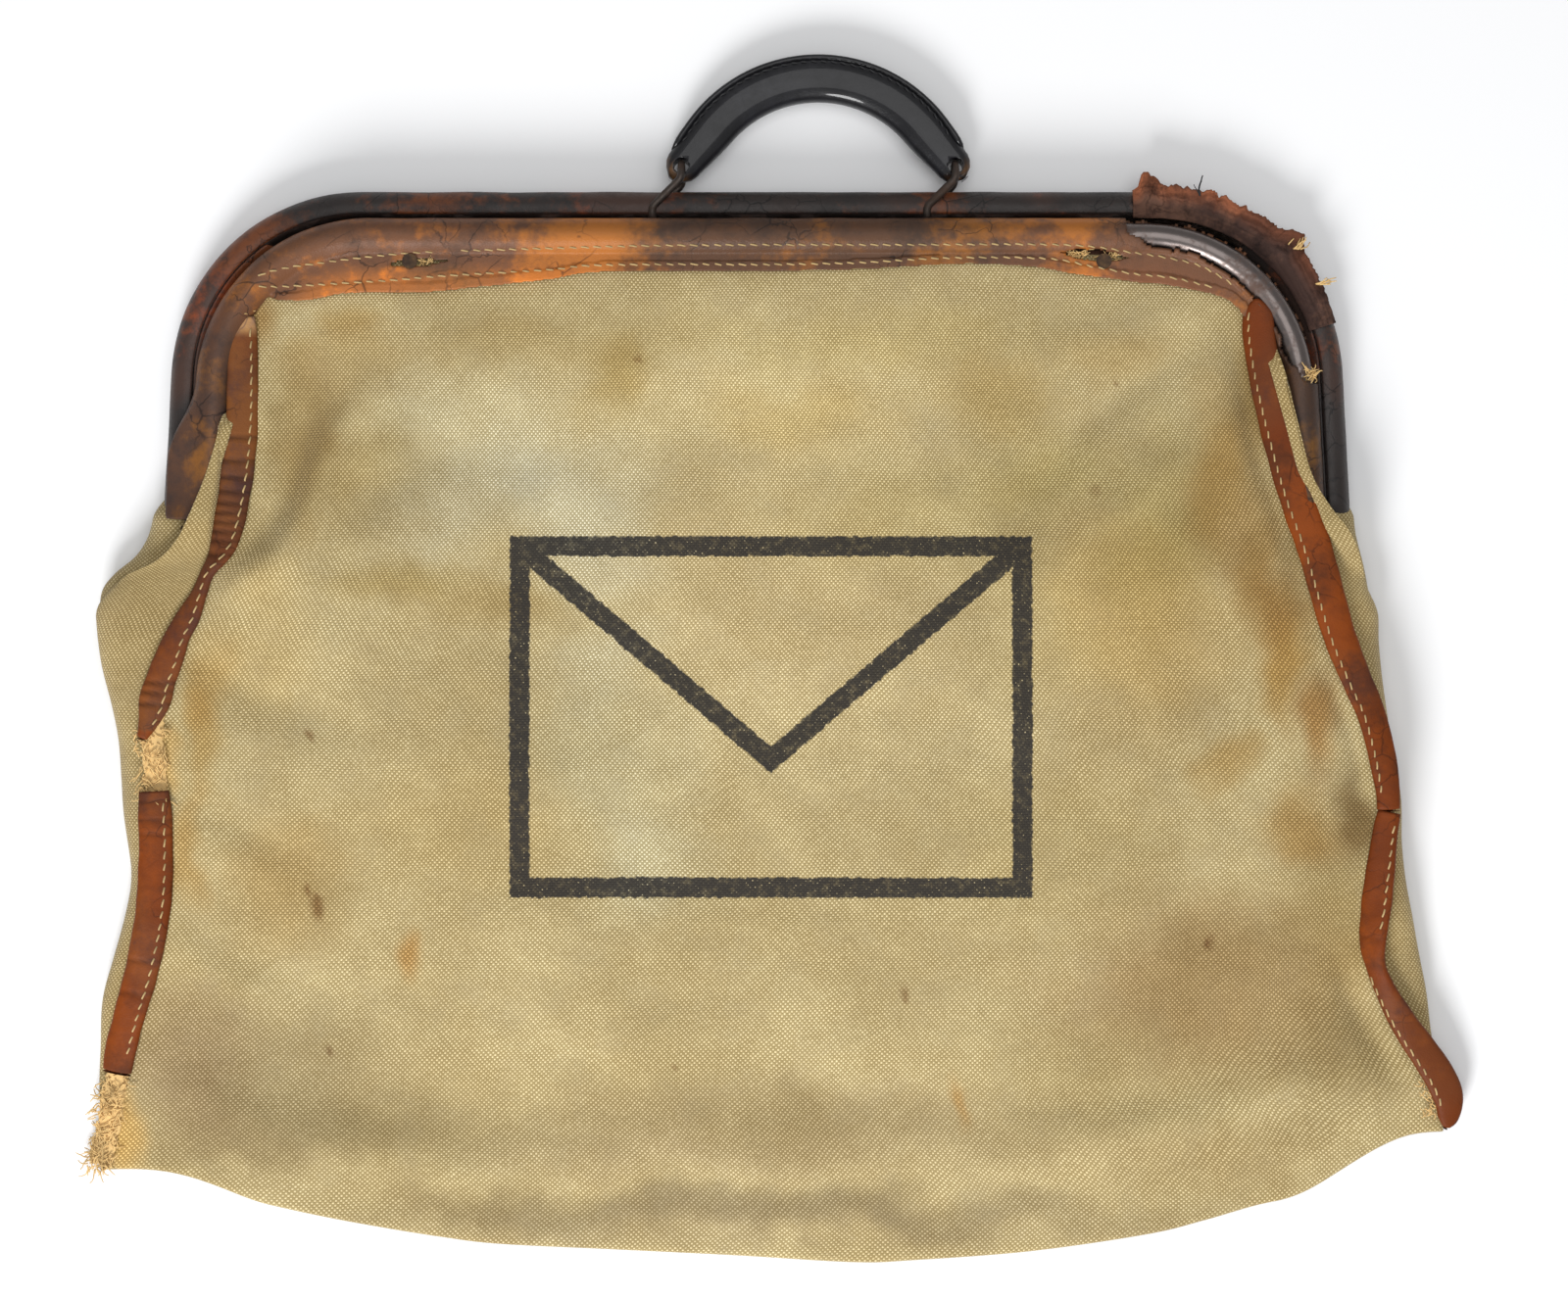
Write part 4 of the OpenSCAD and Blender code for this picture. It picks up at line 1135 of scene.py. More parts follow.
def make_rear_leather():
    rows, tints = [], []
    count = int(REAR.length / 0.0016)
    low_edge = REAR.bar_y - 0.0195
    for i in range(count + 1):
        p, inward = REAR.at(REAR.length * i / count)
        drop = (p[1] - low_edge) / -inward[1] if inward[1] < -0.2 else 0.0
        width = min(max(drop, 0.0075), 0.034)
        ruffle = 1 + 0.035 * wobble(p[0], p[1], scale=50, seed=15)
        end = smooth(p[1], HINGE_Y - 0.003, HINGE_Y + 0.014)
        row, tint = [], []
        for n, z in hide_section(width, LEATHER_R * ruffle, BAND_TOP * 0.9):
            keep_flat = 1 if n > 0.008 else 0
            z = -z
            x, y = p[0] + inward[0] * n, p[1] + inward[1] * n
            row.append((x, y, REAR.z + z * (0.55 + 0.45 * end) - 0.001 * (1 - end)))
            warm = smooth(wobble(x, y, scale=26, seed=21), 0.1, 0.45)
            tint.append(1 + (np.array((1.9, 1.3, 1.05)) - 1) * warm * (1 - keep_flat))
        rows.append(row)
        tints.append(tint)
    piece = grid_piece("rear_frame_leather", rows, REAR_HIDE, None, tints)
    outward_of_tube(piece, REAR)
    thicken(piece, HIDE_T)
    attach(piece, "sack")
    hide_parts("rear_jaw_leather")


def outward_of_tube(piece, jaw):
    """Faces the leather away from the tube it is wrapped round."""
    total = sum((f.center.z - jaw.z) * f.normal.z * f.area for f in piece.data.polygons)
    if total < 0:
        piece.data.flip_normals()


def make_torn_flap():
    """The rear jaw's leather where it has split and stands open over the corner."""
    start = REAR.length / 2 + 0.160
    stop = REAR.length / 2 + 0.262
    rows, tints = [], []
    count = 170
    for i in range(count + 1):
        s = i / count
        p, inward = REAR.at(start + (stop - start) * s)
        open_share = smooth(s, 0.0, 0.05) * (1 - smooth(s, 0.72, 1.0))
        jag = 0.0030 * abs(wobble(s, scale=34, seed=3)) + 0.0018 * abs(wobble(s, scale=90, seed=8))
        peak = 0.0045 * math.exp(-((s - 0.07) / 0.035) ** 2) + 0.0050 * math.exp(-((s - 0.66) / 0.05) ** 2)
        reach = 0.0078 + (0.0012 + jag + peak) * open_share
        row, tint = [], []
        for k in range(23):
            q = k / 22
            n = 0.0045 - (0.0045 + reach) * q
            crown = LEATHER_R + 0.0012
            drop = max(0.0, abs(n) - 0.004) * 0.75 * (1 - 0.5 * open_share)
            z = REAR.z + crown * 0.985 - drop + 0.0010 * wobble(p[0], p[1], q, scale=70, seed=13)
            z += 0.0020 * q * open_share * wobble(s, scale=26, seed=30)
            row.append((p[0] + inward[0] * n, p[1] + inward[1] * n, z))
            edge = smooth(q, 0.35, 0.95) * (1 - smooth(s, 0.7, 0.95))
            tint.append((0.5 + 0.9 * edge, 0.6 + 0.5 * edge, 0.75 + 0.2 * edge))
        rows.append(row)
        tints.append(tint)
    piece = grid_piece("torn_frame_leather", rows, SUEDE, None, tints)
    face_up(piece)
    thicken(piece, TORN_HIDE_T)
    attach(piece, "sack")


# ---------------------------------------------------------------- bindings
# Each strip: x, y, width and turn of its section in degrees, in millimetres, from the top down.
LEFT_UPPER = [
    (-219.5, 146, 11.0, 8), (-219.2, 138, 12.6, 10), (-219.0, 124, 13.2, 10), (-219.4, 101, 13.6, 10),
    (-221.6, 77, 13.8, 8), (-225.3, 56, 12.8, 0), (-228.5, 46, 10.6, -18), (-234.0, 37, 7.0, -42),
    (-237.6, 28, 8.0, -36), (-241.8, 19, 10.4, -18), (-246.8, 10, 11.0, -8), (-250.6, 0, 12.4, 0),
    (-254.0, -9, 12.8, 0), (-256.6, -18, 13.2, 4), (-259.0, -26, 9.0, 6), (-262.2, -34, 4.0, 8)]
LEFT_LOWER = [
    (-256.8, -56, 13.0, 0), (-256.4, -64, 14.0, 2), (-256.0, -84, 14.4, 4), (-257.4, -108, 14.8, 4),
    (-261.9, -132, 14.4, 2), (-266.9, -150, 13.4, 0), (-271.0, -166, 13.8, -4), (-272.6, -176, 12.6, -4)]
RIGHT_UPPER = [
    (212.4, 153.6, 5.0, -6), (212.8, 151, 10.2, -8), (213.3, 146, 13.0, -8), (214.0, 136, 13.8, -10),
    (217.4, 117, 14.4, -10), (223.2, 93, 14.8, -8), (229.6, 70, 14.8, -4), (237.6, 47, 14.6, 0),
    (247.2, 13, 14.2, 6), (255.2, -8, 13.4, 10), (261.2, -22, 12.6, 12), (265.6, -38, 12.2, 10),
    (268.4, -54, 10.6, 4), (269.0, -64.5, 9.8, 0)]
RIGHT_LOWER = [
    (269.3, -64.8, 9.6, 0), (267.6, -73, 10.6, -6), (265.6, -89, 12.0, -14), (263.6, -106, 13.0, -22),
    (262.2, -120, 12.0, -34), (263.4, -130, 9.6, -40), (267.8, -141, 9.4, -28), (275.6, -155, 11.8, -8),
    (284.6, -168, 13.4, 0), (291.0, -178, 14.0, 4), (294.6, -187, 13.0, 4), (294.4, -195, 9.0, 4),
    (293.0, -199.5, 4.0, 4)]


DUSTY = np.array((0.84, 1.38, 3.4))
BARE = np.array((1.7, 5.6, 20.0))


def binding_path(strip):
    """A strip's centre in space, with its width and turn, laid on the cloth along the seam."""
    placed = drawn_in([(x / 1000, y / 1000, w / 1000, math.radians(a)) for x, y, w, a in strip])
    curve = even(catmull(placed), 0.0011)
    out = []
    for x, y, w, a in curve:
        out.append((x, y, profile(SEAM_Z, y) + 0.0024, w, a))
    return np.array(out)


def make_binding(name, strip, wrinkles=(), ends=(1, 1)):
    path = binding_path(strip)
    length = len(path)

    def section(i):
        _, y, _, w, a = path[i]
        pinch = 0.0
        for cy, depth in wrinkles:
            pinch += depth * math.exp(-((y * 1000 - cy) / 1.1) ** 2)
        round_top = math.sqrt(min(1.0, (i + 0.35) * 0.0011 / (w / 2))) if ends[0] else 1
        round_low = math.sqrt(min(1.0, (length - 1 - i + 0.35) * 0.0011 / (w / 2))) if ends[1] else 1
        half = w / 2 * (0.15 + 0.85 * min(round_top, round_low)) * (1 + 0.05 * wobble(y, scale=120, seed=4))
        thick = 0.0021 * (1 - 0.35 * pinch) * (1 + 0.12 * wobble(y, scale=90, seed=6))
        out = []
        for s, up in pill(half, thick, 20, 2.5):
            out.append((s * math.cos(a) - up * math.sin(a), s * math.sin(a) + up * math.cos(a)))
        return out

    def tint(q):
        crease_shade = sum(depth * math.exp(-((q[1] * 1000 - cy) / 0.9) ** 2) for cy, depth in wrinkles)
        # Painted shade: the binding is darker in its wrinkles, where the strip is pinched.
        shade = (0.92 + 0.16 * wobble(q[0], q[1], scale=40, seed=2)) * (1 - 0.55 * min(1, crease_shade))
        upper_left = q[0] < 0 and q[1] > -0.03
        grey = smooth(wobble(q[0], q[1], scale=18, seed=33), -0.7 if upper_left else 0.0, 0.3)
        bare = smooth(q[1], 0.136, 0.142) if q[0] < 0 else 0.0
        return shade * (1 + (DUSTY - 1) * grey * (1.0 if upper_left else 0.45) + BARE * bare)

    piece = sweep(name, path[:, :3], section, BINDING_HIDE, tint)
    return piece, path


# ---------------------------------------------------------------- stitches and loose threads
STITCH_PITCH = 0.0051
STITCH_LENGTH = 0.0042


def stitch_run(name, path, pitch, length, r, material, skip=()):
    """A row of stitches: each dips into the hide at both ends. path is points in space."""
    step = 0.0004
    path = even(np.array(path, float), step, 3)
    run = (len(path) - 1) * step
    count = int(run / pitch)
    stitches = []
    sides = 6
    for k in range(count):
        middle = (k + 0.5) * pitch
        if any(a < k < b for a, b in skip):
            continue
        rings = []
        for q in (-0.5, -0.32, 0.0, 0.32, 0.5):
            at = int(round((middle + q * length) / step))
            at = min(max(at, 1), len(path) - 2)
            p = path[at]
            ahead = path[at + 1] - path[at - 1]
            ahead /= np.linalg.norm(ahead)
            side = np.cross(ahead, (0, 0, 1))
            side /= np.linalg.norm(side)
            top = np.cross(side, ahead)
            skew = 0.00025 * math.sin(q * 5)
            centre = p + side * skew + top * (r * 0.75 - 0.0011 * (abs(q) * 2) ** 3)
            size = r * (1.0 if abs(q) < 0.4 else 0.7)
            rings.append([centre + side * a + top * b for a, b in circle(size, sides)])
        stitches.append(rings)
    return tubes(name, stitches, material)


def strand(start, lean, length, r, curl, seed):
    """One loose thread as rings of points, drooping and curling."""
    sides, steps = 5, 9
    rng = random.Random(seed)
    p = np.array(start, float)
    way = np.array(lean, float)
    way /= np.linalg.norm(way)
    rings = []
    for k in range(steps + 1):
        side = np.cross(way, (0.3, 0.2, 1))
        side /= np.linalg.norm(side)
        top = np.cross(side, way)
        size = r * (1 - 0.45 * k / steps)
        rings.append([p + side * a + top * b for a, b in circle(size, sides)])
        p = p + way * length / steps
        turn = [rng.uniform(-curl, curl), rng.uniform(-curl, curl), rng.uniform(-curl, curl * 0.6)]
        way = way + np.array(turn)
        way /= np.linalg.norm(way)
        p[2] = max(p[2], 0.0004)
    return rings


def tubes(name, strands, material):
    """One piece from closed tubes, each given as its rings of points."""
    verts, faces = [], []
    for rings in strands:
        base = len(verts)
        sides = len(rings[0])
        for ring in rings:
            verts.extend(tuple(v) for v in ring)
        for i in range(len(rings) - 1):
            for j in range(sides):
                a, b = base + i * sides + j, base + i * sides + (j + 1) % sides
                faces.append((a, b, b + sides, a + sides))
        faces.append([base + j for j in range(sides)][::-1])
        faces.append([base + (len(rings) - 1) * sides + j for j in range(sides)])
    mesh = bpy.data.meshes.new(name)
    mesh.from_pydata(verts, [], faces)
    piece = new_piece(name, mesh, material)
    outward(piece)
    for face in mesh.polygons:
        face.use_smooth = True
    return piece


def make_threads(name, strands, material, body):
    piece = tubes(name, strands, material)
    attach(piece, body)


def facing_height(x, y):
    """The top of the front leather under a point."""
    over = bpy.data.objects["front_frame_leather"]
    found, place, _, _ = over.ray_cast((x, y, 0.06), (0, 0, -1))
    return place.z if found else FRONT.z + BAND_TOP


def make_facing_stitches():
    rows = []
    for word, row in (("upper", UPPER_ROW), ("lower", LOWER_ROW)):
        curve = even(catmull(drawn_in(row, 0.026)), 0.001)
        path = [(x, y, facing_height(x, y)) for x, y in curve]
        skip = ((14, 17),) if word == "upper" else ()
        rows.append(stitch_run(word + "_facing_stitches", path, STITCH_PITCH, STITCH_LENGTH, 0.00038,
                               STRAW_THREAD, skip))
    piece = join(rows, "facing_stitches")
    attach(piece, "front_frame")


def binding_stitches(name, path, share, r=0.00040):
    """Stitches along a binding, at a share of its width from its middle."""
    out = []
    for i in range(4, len(path) - 4):
        x, y, z, w, a = path[i]
        ahead = path[i + 1][:2] - path[i - 1][:2]
        ahead /= np.linalg.norm(ahead)
        side = np.array((ahead[1], -ahead[0]))
        s = share * w
        up = 0.0021 * (1 - (abs(2 * share)) ** 2.5) ** 0.4
        off = s * math.cos(a) - up * math.sin(a)
        out.append((x + side[0] * off, y + side[1] * off, z + s * math.sin(a) + up * math.cos(a)))
    return stitch_run(name, out, STITCH_PITCH, STITCH_LENGTH, r, STRAW_THREAD)


def make_bindings():
    wrinkle_left = [(cy, 0.9) for cy in (94, 84, 77, 71, 66, 62, 58, 54, 50, 44, -10, -14, -19)]
    piece, path = make_binding("left_front_binding_leather", LEFT_UPPER, wrinkle_left, (0, 0))
    bend_at_hinge(piece)
    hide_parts("left_front_binding_top")
    thread = binding_stitches("left_binding_stitches", path, -0.27)
    bend_at_hinge(thread)
    piece, path = make_binding("left_low_binding_leather", LEFT_LOWER,
                               [(cy, 0.6) for cy in (-60, -68, -74, -128, -142)], (0, 0))
    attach(piece, "sack")
    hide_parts("left_front_binding")
    thread = binding_stitches("left_low_binding_stitches", path, -0.27)
    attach(thread, "sack")
    piece, path = make_binding("right_front_binding_leather", RIGHT_UPPER, [], (1, 0))
    bend_at_hinge(piece)
    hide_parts("right_front_binding_top")
    thread = binding_stitches("right_binding_stitches", path, 0.30, 0.00036)
    bend_at_hinge(thread)
    piece, path = make_binding("right_low_binding_leather", RIGHT_LOWER, [(-118, 0.4)], (0, 1))
    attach(piece, "sack")
    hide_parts("right_front_binding")
    upper = path[path[:, 1] > -0.122]
    lower = path[path[:, 1] <= -0.128]
    threads = [binding_stitches("right_low_stitches_a", upper, -0.30),
               binding_stitches("right_low_stitches_b", lower, 0.33)]
    thread = join(threads, "right_low_binding_stitches")
    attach(thread, "sack")


BACK_BINDING_HALF = 0.0062
BACK_BINDING_THICK = 0.0034


def make_back_bindings():
    """The bindings' other halves, under the sack."""
    for side, word, edge in ((-1, "left", LEFT_EDGE), (1, "right", RIGHT_EDGE)):
        stop = -0.172 if side < 0 else -0.190
        points = [(x + side * 0.003, y, 0.0022) for x, y in edge if 0.044 > y > stop]

        piece = sweep(word + "_back_binding_leather", points,
                      lambda i: pill(BACK_BINDING_HALF, BACK_BINDING_THICK / 2), BINDING_HIDE)
        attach(piece, "sack")
        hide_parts(word + "_back_binding")


def bare_edge(high, low, half, shift):
    """A strip of bare cloth over the left seam, as rings of points."""
    rings = []
    for k in range(40):
        y = high + (low - high) * k / 39
        x = across_at(LEFT_EDGE, y) + shift + 0.0008 * wobble(y, scale=300, seed=2)
        wide = half * (1 + 0.30 * wobble(y, scale=500, seed=5))
        z = profile(SEAM_Z, y) + 0.0007 + 0.0003 * wobble(y, scale=400, seed=8)
        rings.append([np.array((x + a, y, max(z + b, 0.0005))) for a, b in pill(wide, 0.0007, 14)])
    return rings


def make_frays():
    """Bare canvas edges and loose threads where the leather has gone."""
    rng = random.Random(5)
    strands = [bare_edge(-0.022, -0.070, 0.0048, 0.0004), bare_edge(-0.170, -0.2165, 0.0050, -0.0006)]
    for k in range(130):
        y = rng.uniform(-0.060, -0.028)
        x = across_at(LEFT_EDGE, y) + rng.uniform(-0.006, 0.006)
        z = profile(SEAM_Z, y) + rng.uniform(0.0014, 0.0026)
        lean = (rng.uniform(-0.8, 0.8), rng.uniform(-2.0, 0.6), rng.uniform(-0.1, 0.15))
        strands.append(strand((x, y, z), lean, rng.uniform(0.003, 0.008), 0.00036, 0.45, k))
    for k in range(210):
        y = rng.uniform(-0.219, -0.178)
        x = across_at(LEFT_EDGE, y) + rng.uniform(-0.007, 0.005)
        z = profile(SEAM_Z, y) + rng.uniform(0.0012, 0.0026)
        lean = (rng.uniform(-1.2, 0.4), rng.uniform(-1.6, 0.5), rng.uniform(-0.1, 0.15))
        strands.append(strand((x, y, z), lean, rng.uniform(0.003, 0.009), 0.00036, 0.45, 1000 + k))
    make_threads("left_frayed_canvas", strands, FRAY_THREAD, "sack")
    strands = []
    for k in range(26):
        y = rng.uniform(-0.200, -0.180)
        x = across_at(RIGHT_EDGE, y) - rng.uniform(0.004, 0.009)
        start = (x, y, profile(SEAM_Z, y) + 0.001)
        lean = (rng.uniform(-0.6, 1), rng.uniform(-1, 0.4), 0.1)
        strands.append(strand(start, lean, rng.uniform(0.002, 0.006), 0.0003, 0.6, 2000 + k))
    make_threads("right_frayed_canvas", strands, FRAY_THREAD, "sack")
    strands = []
    torn_spots = [((0.2345, 0.1205), 26, 0.0022), ((-0.1400, 0.1685), 18, 0.003),
                  ((0.1350, 0.1722), 26, 0.004), ((0.1500, 0.1706), 18, 0.003),
                  ((-0.2195, 0.1468), 24, 0.004)]
    for (cx, cy), count, spread in torn_spots:
        for k in range(count):
            x, y = cx + rng.uniform(-spread, spread), cy + rng.uniform(-0.0012, 0.0012)
            z = FRONT.z + (0.0052 if cx > 0.2 else 0.0012)
            lean = (rng.uniform(-1, 1), rng.uniform(-0.8, 0.8), 0.25)
            strands.append(strand((x, y, z), lean, rng.uniform(0.003, 0.0065), 0.00035, 0.55, 3000 + k))
    make_threads("frame_leather_threads", strands, FRAY_THREAD, "front_frame")
    strands = []
    for along, count in ((0.229, 7), (0.246, 8)):
        p, inward = REAR.at(REAR.length / 2 + along)
        for k in range(count):
            x = p[0] - inward[0] * 0.008 + rng.uniform(-0.003, 0.003)
            y = p[1] - inward[1] * 0.008
            lean = (-inward[0] + rng.uniform(-0.5, 0.5), -inward[1] + rng.uniform(-0.4, 0.4), 0.1)
            seed = 4000 + k + int(along * 1000)
            strands.append(strand((x, y, REAR.z + 0.007), lean, rng.uniform(0.004, 0.008), 0.0004, 0.3, seed))
    make_threads("torn_leather_threads", strands, FRAY_THREAD, "sack")
    p, inward = REAR.at(REAR.length / 2 + 0.187)
    start = (p[0] - inward[0] * 0.0075, p[1] - inward[1] * 0.0075, REAR.z + 0.007)
    loose = [strand(start, (-0.15, 1, 0.1), 0.010, 0.0005, 0.22, 9),
             strand(start, (-0.5, 1, 0.1), 0.006, 0.0003, 0.3, 10)]
    make_threads("loose_dark_thread", loose, BLACK_THREAD, "sack")


# ---------------------------------------------------------------- rings and grip
WIRE_R = 0.0017


def ring_curve(node):
    """The closed centre line of one wire ring, from its box and the two axes it turns on."""
    low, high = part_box(node)
    x0, x1 = low[0] + WIRE_R, high[0] - WIRE_R
    reach = math.hypot(EYE_AXIS_Y - RING_AXIS_Y, EYE_AXIS_Z - RING_AXIS_Z)
    tilt = math.atan2(EYE_AXIS_Z - RING_AXIS_Z, EYE_AXIS_Y - RING_AXIS_Y)
    r = (high[2] - low[2]) / 2 - WIRE_R - 0.00028
    points = []
    for k in range(13):
        a = math.pi / 2 + math.pi * k / 12
        points.append((x0, r * math.cos(a), r * math.sin(a)))
    for k in range(13):
        a = -math.pi / 2 + math.pi * k / 12
        points.append((x1, reach + r * math.cos(a), r * math.sin(a)))
    points.append(points[0])
    out = []
    for x, y, z in points:
        out.append((x, RING_AXIS_Y + y * math.cos(tilt) - z * math.sin(tilt),
                    RING_AXIS_Z + y * math.sin(tilt) + z * math.cos(tilt)))
    return even(np.array(out), 0.0008, 3)


def make_ring(node, name, body):
    path = ring_curve(node)[:-1]
    count = len(path)
    smooth_path = np.array([np.mean([path[(i + k) % count] for k in range(-2, 3)], axis=0)
                            for i in range(count)])
    rows = []
    side = None
    for i in range(count + 1):
        p = smooth_path[i % count]
        ahead = smooth_path[(i + 1) % count] - smooth_path[(i - 1) % count]
        ahead /= np.linalg.norm(ahead)
        side = np.array((1.0, 0, 0)) if side is None else side
        side = side - ahead * np.dot(side, ahead)
        side /= np.linalg.norm(side)
        top = np.cross(ahead, side)
        wear = 1 - 0.10 * smooth(abs(p[1] - EYE_AXIS_Y - 0.007), 0.006, 0.0)
        rows.append([p + side * a * wear + top * b * wear for a, b in circle(WIRE_R, 14)])
    rows[-1] = rows[0]
    piece = grid_piece(name, rows, RING_STEEL, ring=True)
    outward(piece)
    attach(piece, body)
    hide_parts(node)


def grip_frame():
    """How the grip is tilted, half the distance of its eyes and their middle, from the rings."""
    tilt = math.atan2(EYE_AXIS_Z - RING_AXIS_Z, EYE_AXIS_Y - RING_AXIS_Y)
    left_x, right_x = (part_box(node)[1][0] for node in ("left_ring", "right_ring"))
    return tilt, (right_x - left_x) / 2, (right_x + left_x) / 2 - WIRE_R


GRIP_SLOPE = math.radians(50)
GRIP_RISE = 0.0376
EYE_FROM_AXIS = 0.0060


def make_grip():
    tilt, half, middle = grip_frame()
    leg = GRIP_RISE / math.tan(GRIP_SLOPE / 2) - half
    arc_r = (half - leg * math.cos(GRIP_SLOPE)) / math.sin(GRIP_SLOPE)
    arch_y = GRIP_RISE - arc_r
    centre = []
    beyond = 0.0066
    for k in range(12):
        s = -leg - beyond + (leg + beyond) * k / 12
        centre.append((-GRIP_SLOPE, s))
    for k in range(61):
        centre.append((-GRIP_SLOPE + 2 * GRIP_SLOPE * k / 60, 0.0))
    for k in range(1, 13):
        centre.append((GRIP_SLOPE, (leg + beyond) * k / 12))
    points, outs = [], []
    for a, s in centre:
        out = np.array((math.sin(a), math.cos(a)))
        way = np.array((math.cos(a), -math.sin(a)))
        points.append(np.array((0, arch_y)) + out * arc_r + way * s)
        outs.append(out)
    total = len(points)
    steps = [np.linalg.norm(points[i + 1] - points[i]) for i in range(total - 1)]
    runs = np.concatenate([[0], np.cumsum(steps)])

    def to_world(x, y, z):
        y0 = math.hypot(EYE_AXIS_Y - RING_AXIS_Y, EYE_AXIS_Z - RING_AXIS_Z) + EYE_FROM_AXIS + y
        return (middle + x, RING_AXIS_Y + y0 * math.cos(tilt) - z * math.sin(tilt),
                RING_AXIS_Z + y0 * math.sin(tilt) + z * math.cos(tilt))

    def ring_at(i, n):
        """n points round the section: a flat face, a fat round inside and a thin outer rim."""
        end = min(runs[i], runs[-1] - runs[i])
        tip = math.sqrt(min(1.0, (end + 0.0004) / 0.0062))
        swell = smooth(end, 0.0, 0.030)
        half_w = (0.0074 + 0.0020 * swell) * tip
        half_t = (0.0050 + 0.0019 * swell) * (0.55 + 0.45 * tip)
        out = []
        for k in range(n):
            a = 2 * math.pi * k / n
            c, s = math.cos(a), math.sin(a)
            power = 3.4 if c > 0 else 2.3
            w = half_w * math.copysign(abs(c) ** (2 / power), c)
            h = half_t * math.copysign(abs(s) ** (2 / power), s)
            h *= 1 - 0.16 * smooth(c, 0.4, 1.0)
            out.append((w, h))
        return out

    rows, tints = [], []
    for i in range(total):
        row, tint = [], []
        for w, h in ring_at(i, 40):
            p = points[i] + outs[i] * w
            row.append(to_world(p[0], p[1], h))
            end = min(runs[i], runs[-1] - runs[i])
            patchy = smooth(wobble(p[0], p[1], h, scale=260, seed=5), -0.15, 0.25)
            bare = (1 - smooth(end, 0.002, 0.0075)) * patchy
            tint.append(1 + (np.array((15.0, 7.5, 2.6)) - 1) * bare)
        rows.append(row)
        tints.append(tint)
    close_ends(rows, tints)
    piece = grid_piece("grip_leather_cover", rows, GRIP_HIDE, None, tints, ring=True)
    outward(piece)
    drill_eyes(piece, [to_world(side * half, 0.0, 0.0) for side in (-1, 1)], tilt)
    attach(piece, "grip")
    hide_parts("grip_leather")
    make_grip_rim(points, outs, runs, to_world)


def drill_eyes(piece, places, tilt):
    """Cuts the two holes that the rings go through."""
    for place in places:
        bpy.ops.object.select_all(action="DESELECT")
        bpy.ops.mesh.primitive_cylinder_add(vertices=40, radius=0.0033, depth=0.04, location=place,
                                            rotation=(tilt, 0, 0))
        drill = bpy.context.active_object
        cut = piece.modifiers.new("eye", "BOOLEAN")
        cut.operation = "DIFFERENCE"
        cut.solver = "EXACT"
        cut.object = drill
        apply_all(piece)
        bpy.data.objects.remove(drill)


def make_grip_rim(points, outs, runs, to_world):
    """The raised seam round the outside of the grip, with its stitches."""
    start, stop = 4, len(points) - 5
    rows = []
    for i in range(start, stop + 1):
        end = min(runs[i], runs[-1] - runs[i])
        swell = smooth(end, 0.0, 0.030)
        grow = math.sqrt(min(1.0, (min(i - start, stop - i) + 0.3) / 2.5))
        base = 0.0068 + 0.0020 * swell
        row = []
        for a, b in pill(0.0016 * grow, 0.0050 * grow, 14, 3.0):
            p = points[i] + outs[i] * (base + a + 0.0004)
            row.append(to_world(p[0], p[1], b + 0.0004))
        rows.append(row)
    close_ends(rows)
    rim = grid_piece("grip_seam_rim", rows, GRIP_HIDE, ring=True)
    outward(rim)
    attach(rim, "grip")
    path = []
    for i in range(start + 2, stop - 1):
        end = min(runs[i], runs[-1] - runs[i])
        swell = smooth(end, 0.0, 0.030)
        p = points[i] + outs[i] * (0.0050 + 0.0020 * swell)
        path.append(to_world(p[0], p[1], 0.0044 + 0.0018 * swell))
    thread = stitch_run("grip_seam_stitches", path, 0.0042, 0.0034, 0.00032, BLACK_THREAD)
    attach(thread, "grip")


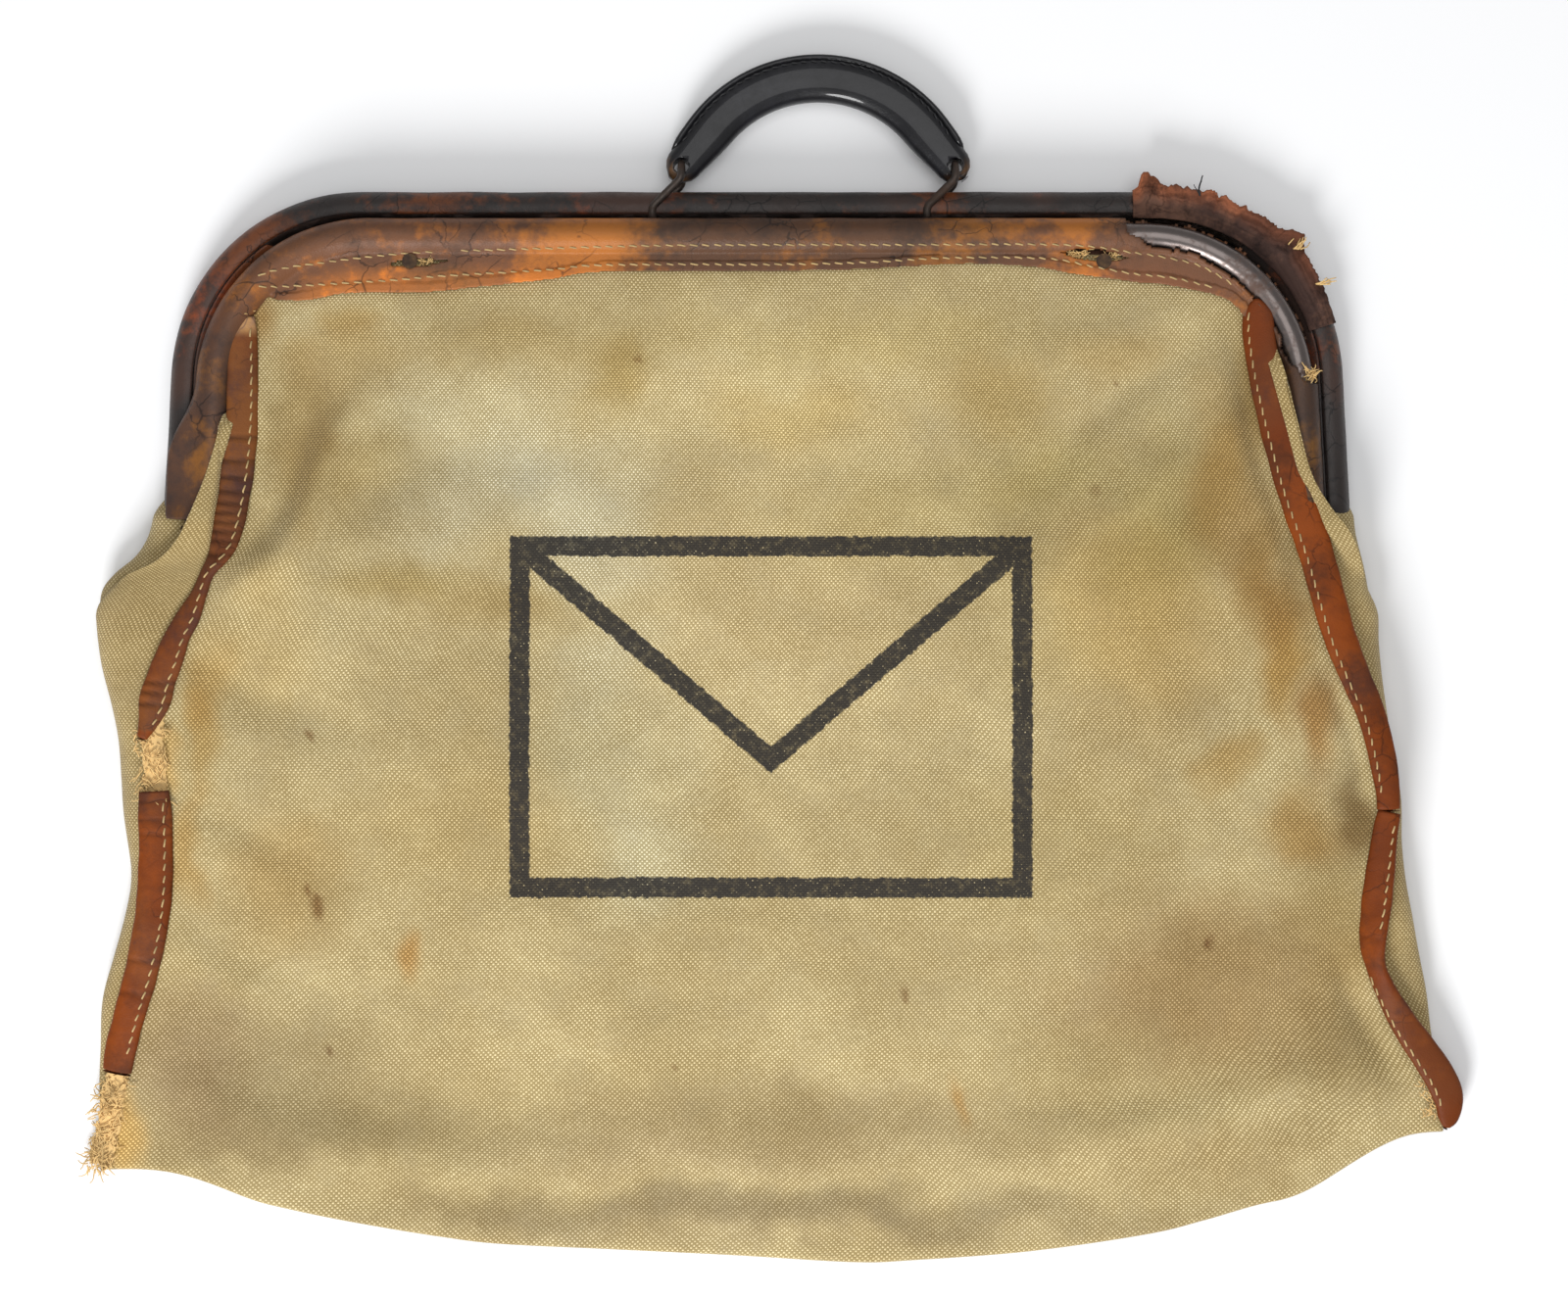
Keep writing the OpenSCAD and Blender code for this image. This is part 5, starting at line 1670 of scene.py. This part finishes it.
# ---------------------------------------------------------------- carried nodes, floor and light
def paint_nodes():
    finishes = {
        FRAME_STEEL: ("rear_jaw", "front_jaw"),
        RING_STEEL: ("rear_hinge_plates", "front_hinge_plates", "hinge_pins", "hinge_washers"),
        RIVET_BRASS: ("skirt_rivets",),
        GRIP_CORE_HIDE: ("grip_core",),
    }
    for material, names in finishes.items():
        for name in names:
            node = frame["nodes"][name]
            for slot in node.material_slots:
                slot.material = material


def make_stage():
    material, n, shader, place = start_material("pale_floor")
    tone = n.noise(place, 3.0, 2.0)
    n.put(n.mix(n.math("MULTIPLY", tone, 0.25), (0.86, 0.865, 0.875), (0.82, 0.825, 0.84)),
          shader.inputs["Base Color"])
    shader.inputs["Roughness"].default_value = 0.7
    bpy.ops.object.select_all(action="DESELECT")
    bpy.ops.mesh.primitive_plane_add(size=8.0, location=(0, 0, -0.0003))
    floor = bpy.context.active_object
    floor.name = "floor"
    floor.data.materials.append(material)
    floor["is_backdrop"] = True


def make_light(name, place, size, power):
    """A round lamp that looks at the middle of the sack."""
    data = bpy.data.lights.new(name, "AREA")
    data.shape = "DISK"
    data.size = size
    data.energy = power
    lamp = bpy.data.objects.new(name, data)
    lamp.location = place
    lamp.rotation_euler = (-Vector(place)).to_track_quat("-Z", "Y").to_euler()
    bpy.context.scene.collection.objects.link(lamp)


def make_lights():
    make_light("window_light", (-0.5, -1.7, 1.25), 0.8, 46)
    make_light("ceiling_light", (0.2, 0.4, 2.6), 2.2, 24)
    world = bpy.data.worlds.new("studio")
    world.use_nodes = True
    world.node_tree.nodes["Background"].inputs[0].default_value = (1, 1, 1, 1)
    world.node_tree.nodes["Background"].inputs[1].default_value = 0.46
    bpy.context.scene.world = world
    bpy.context.scene.view_settings.view_transform = "Standard"


make_camera()
front = make_front_canvas()
make_back_canvas(front)
for side, word in ((-1, "left"), (1, "right")):
    make_gusset(side, word)
    make_gusset_back(side, word)
make_front_leather()
make_front_facing_inside()
make_rear_leather()
make_torn_flap()
make_bindings()
make_back_bindings()
make_facing_stitches()
make_frays()
make_ring("left_ring", "left_handle_ring_wire", "left_handle_ring")
make_ring("right_ring", "right_handle_ring_wire", "right_handle_ring")
make_grip()
paint_nodes()
make_stage()
make_lights()

boxes = {"cad": CAD_BOX, "visual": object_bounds()}
{k: [[float(c) for c in corner] for corner in v] for k, v in boxes.items()}
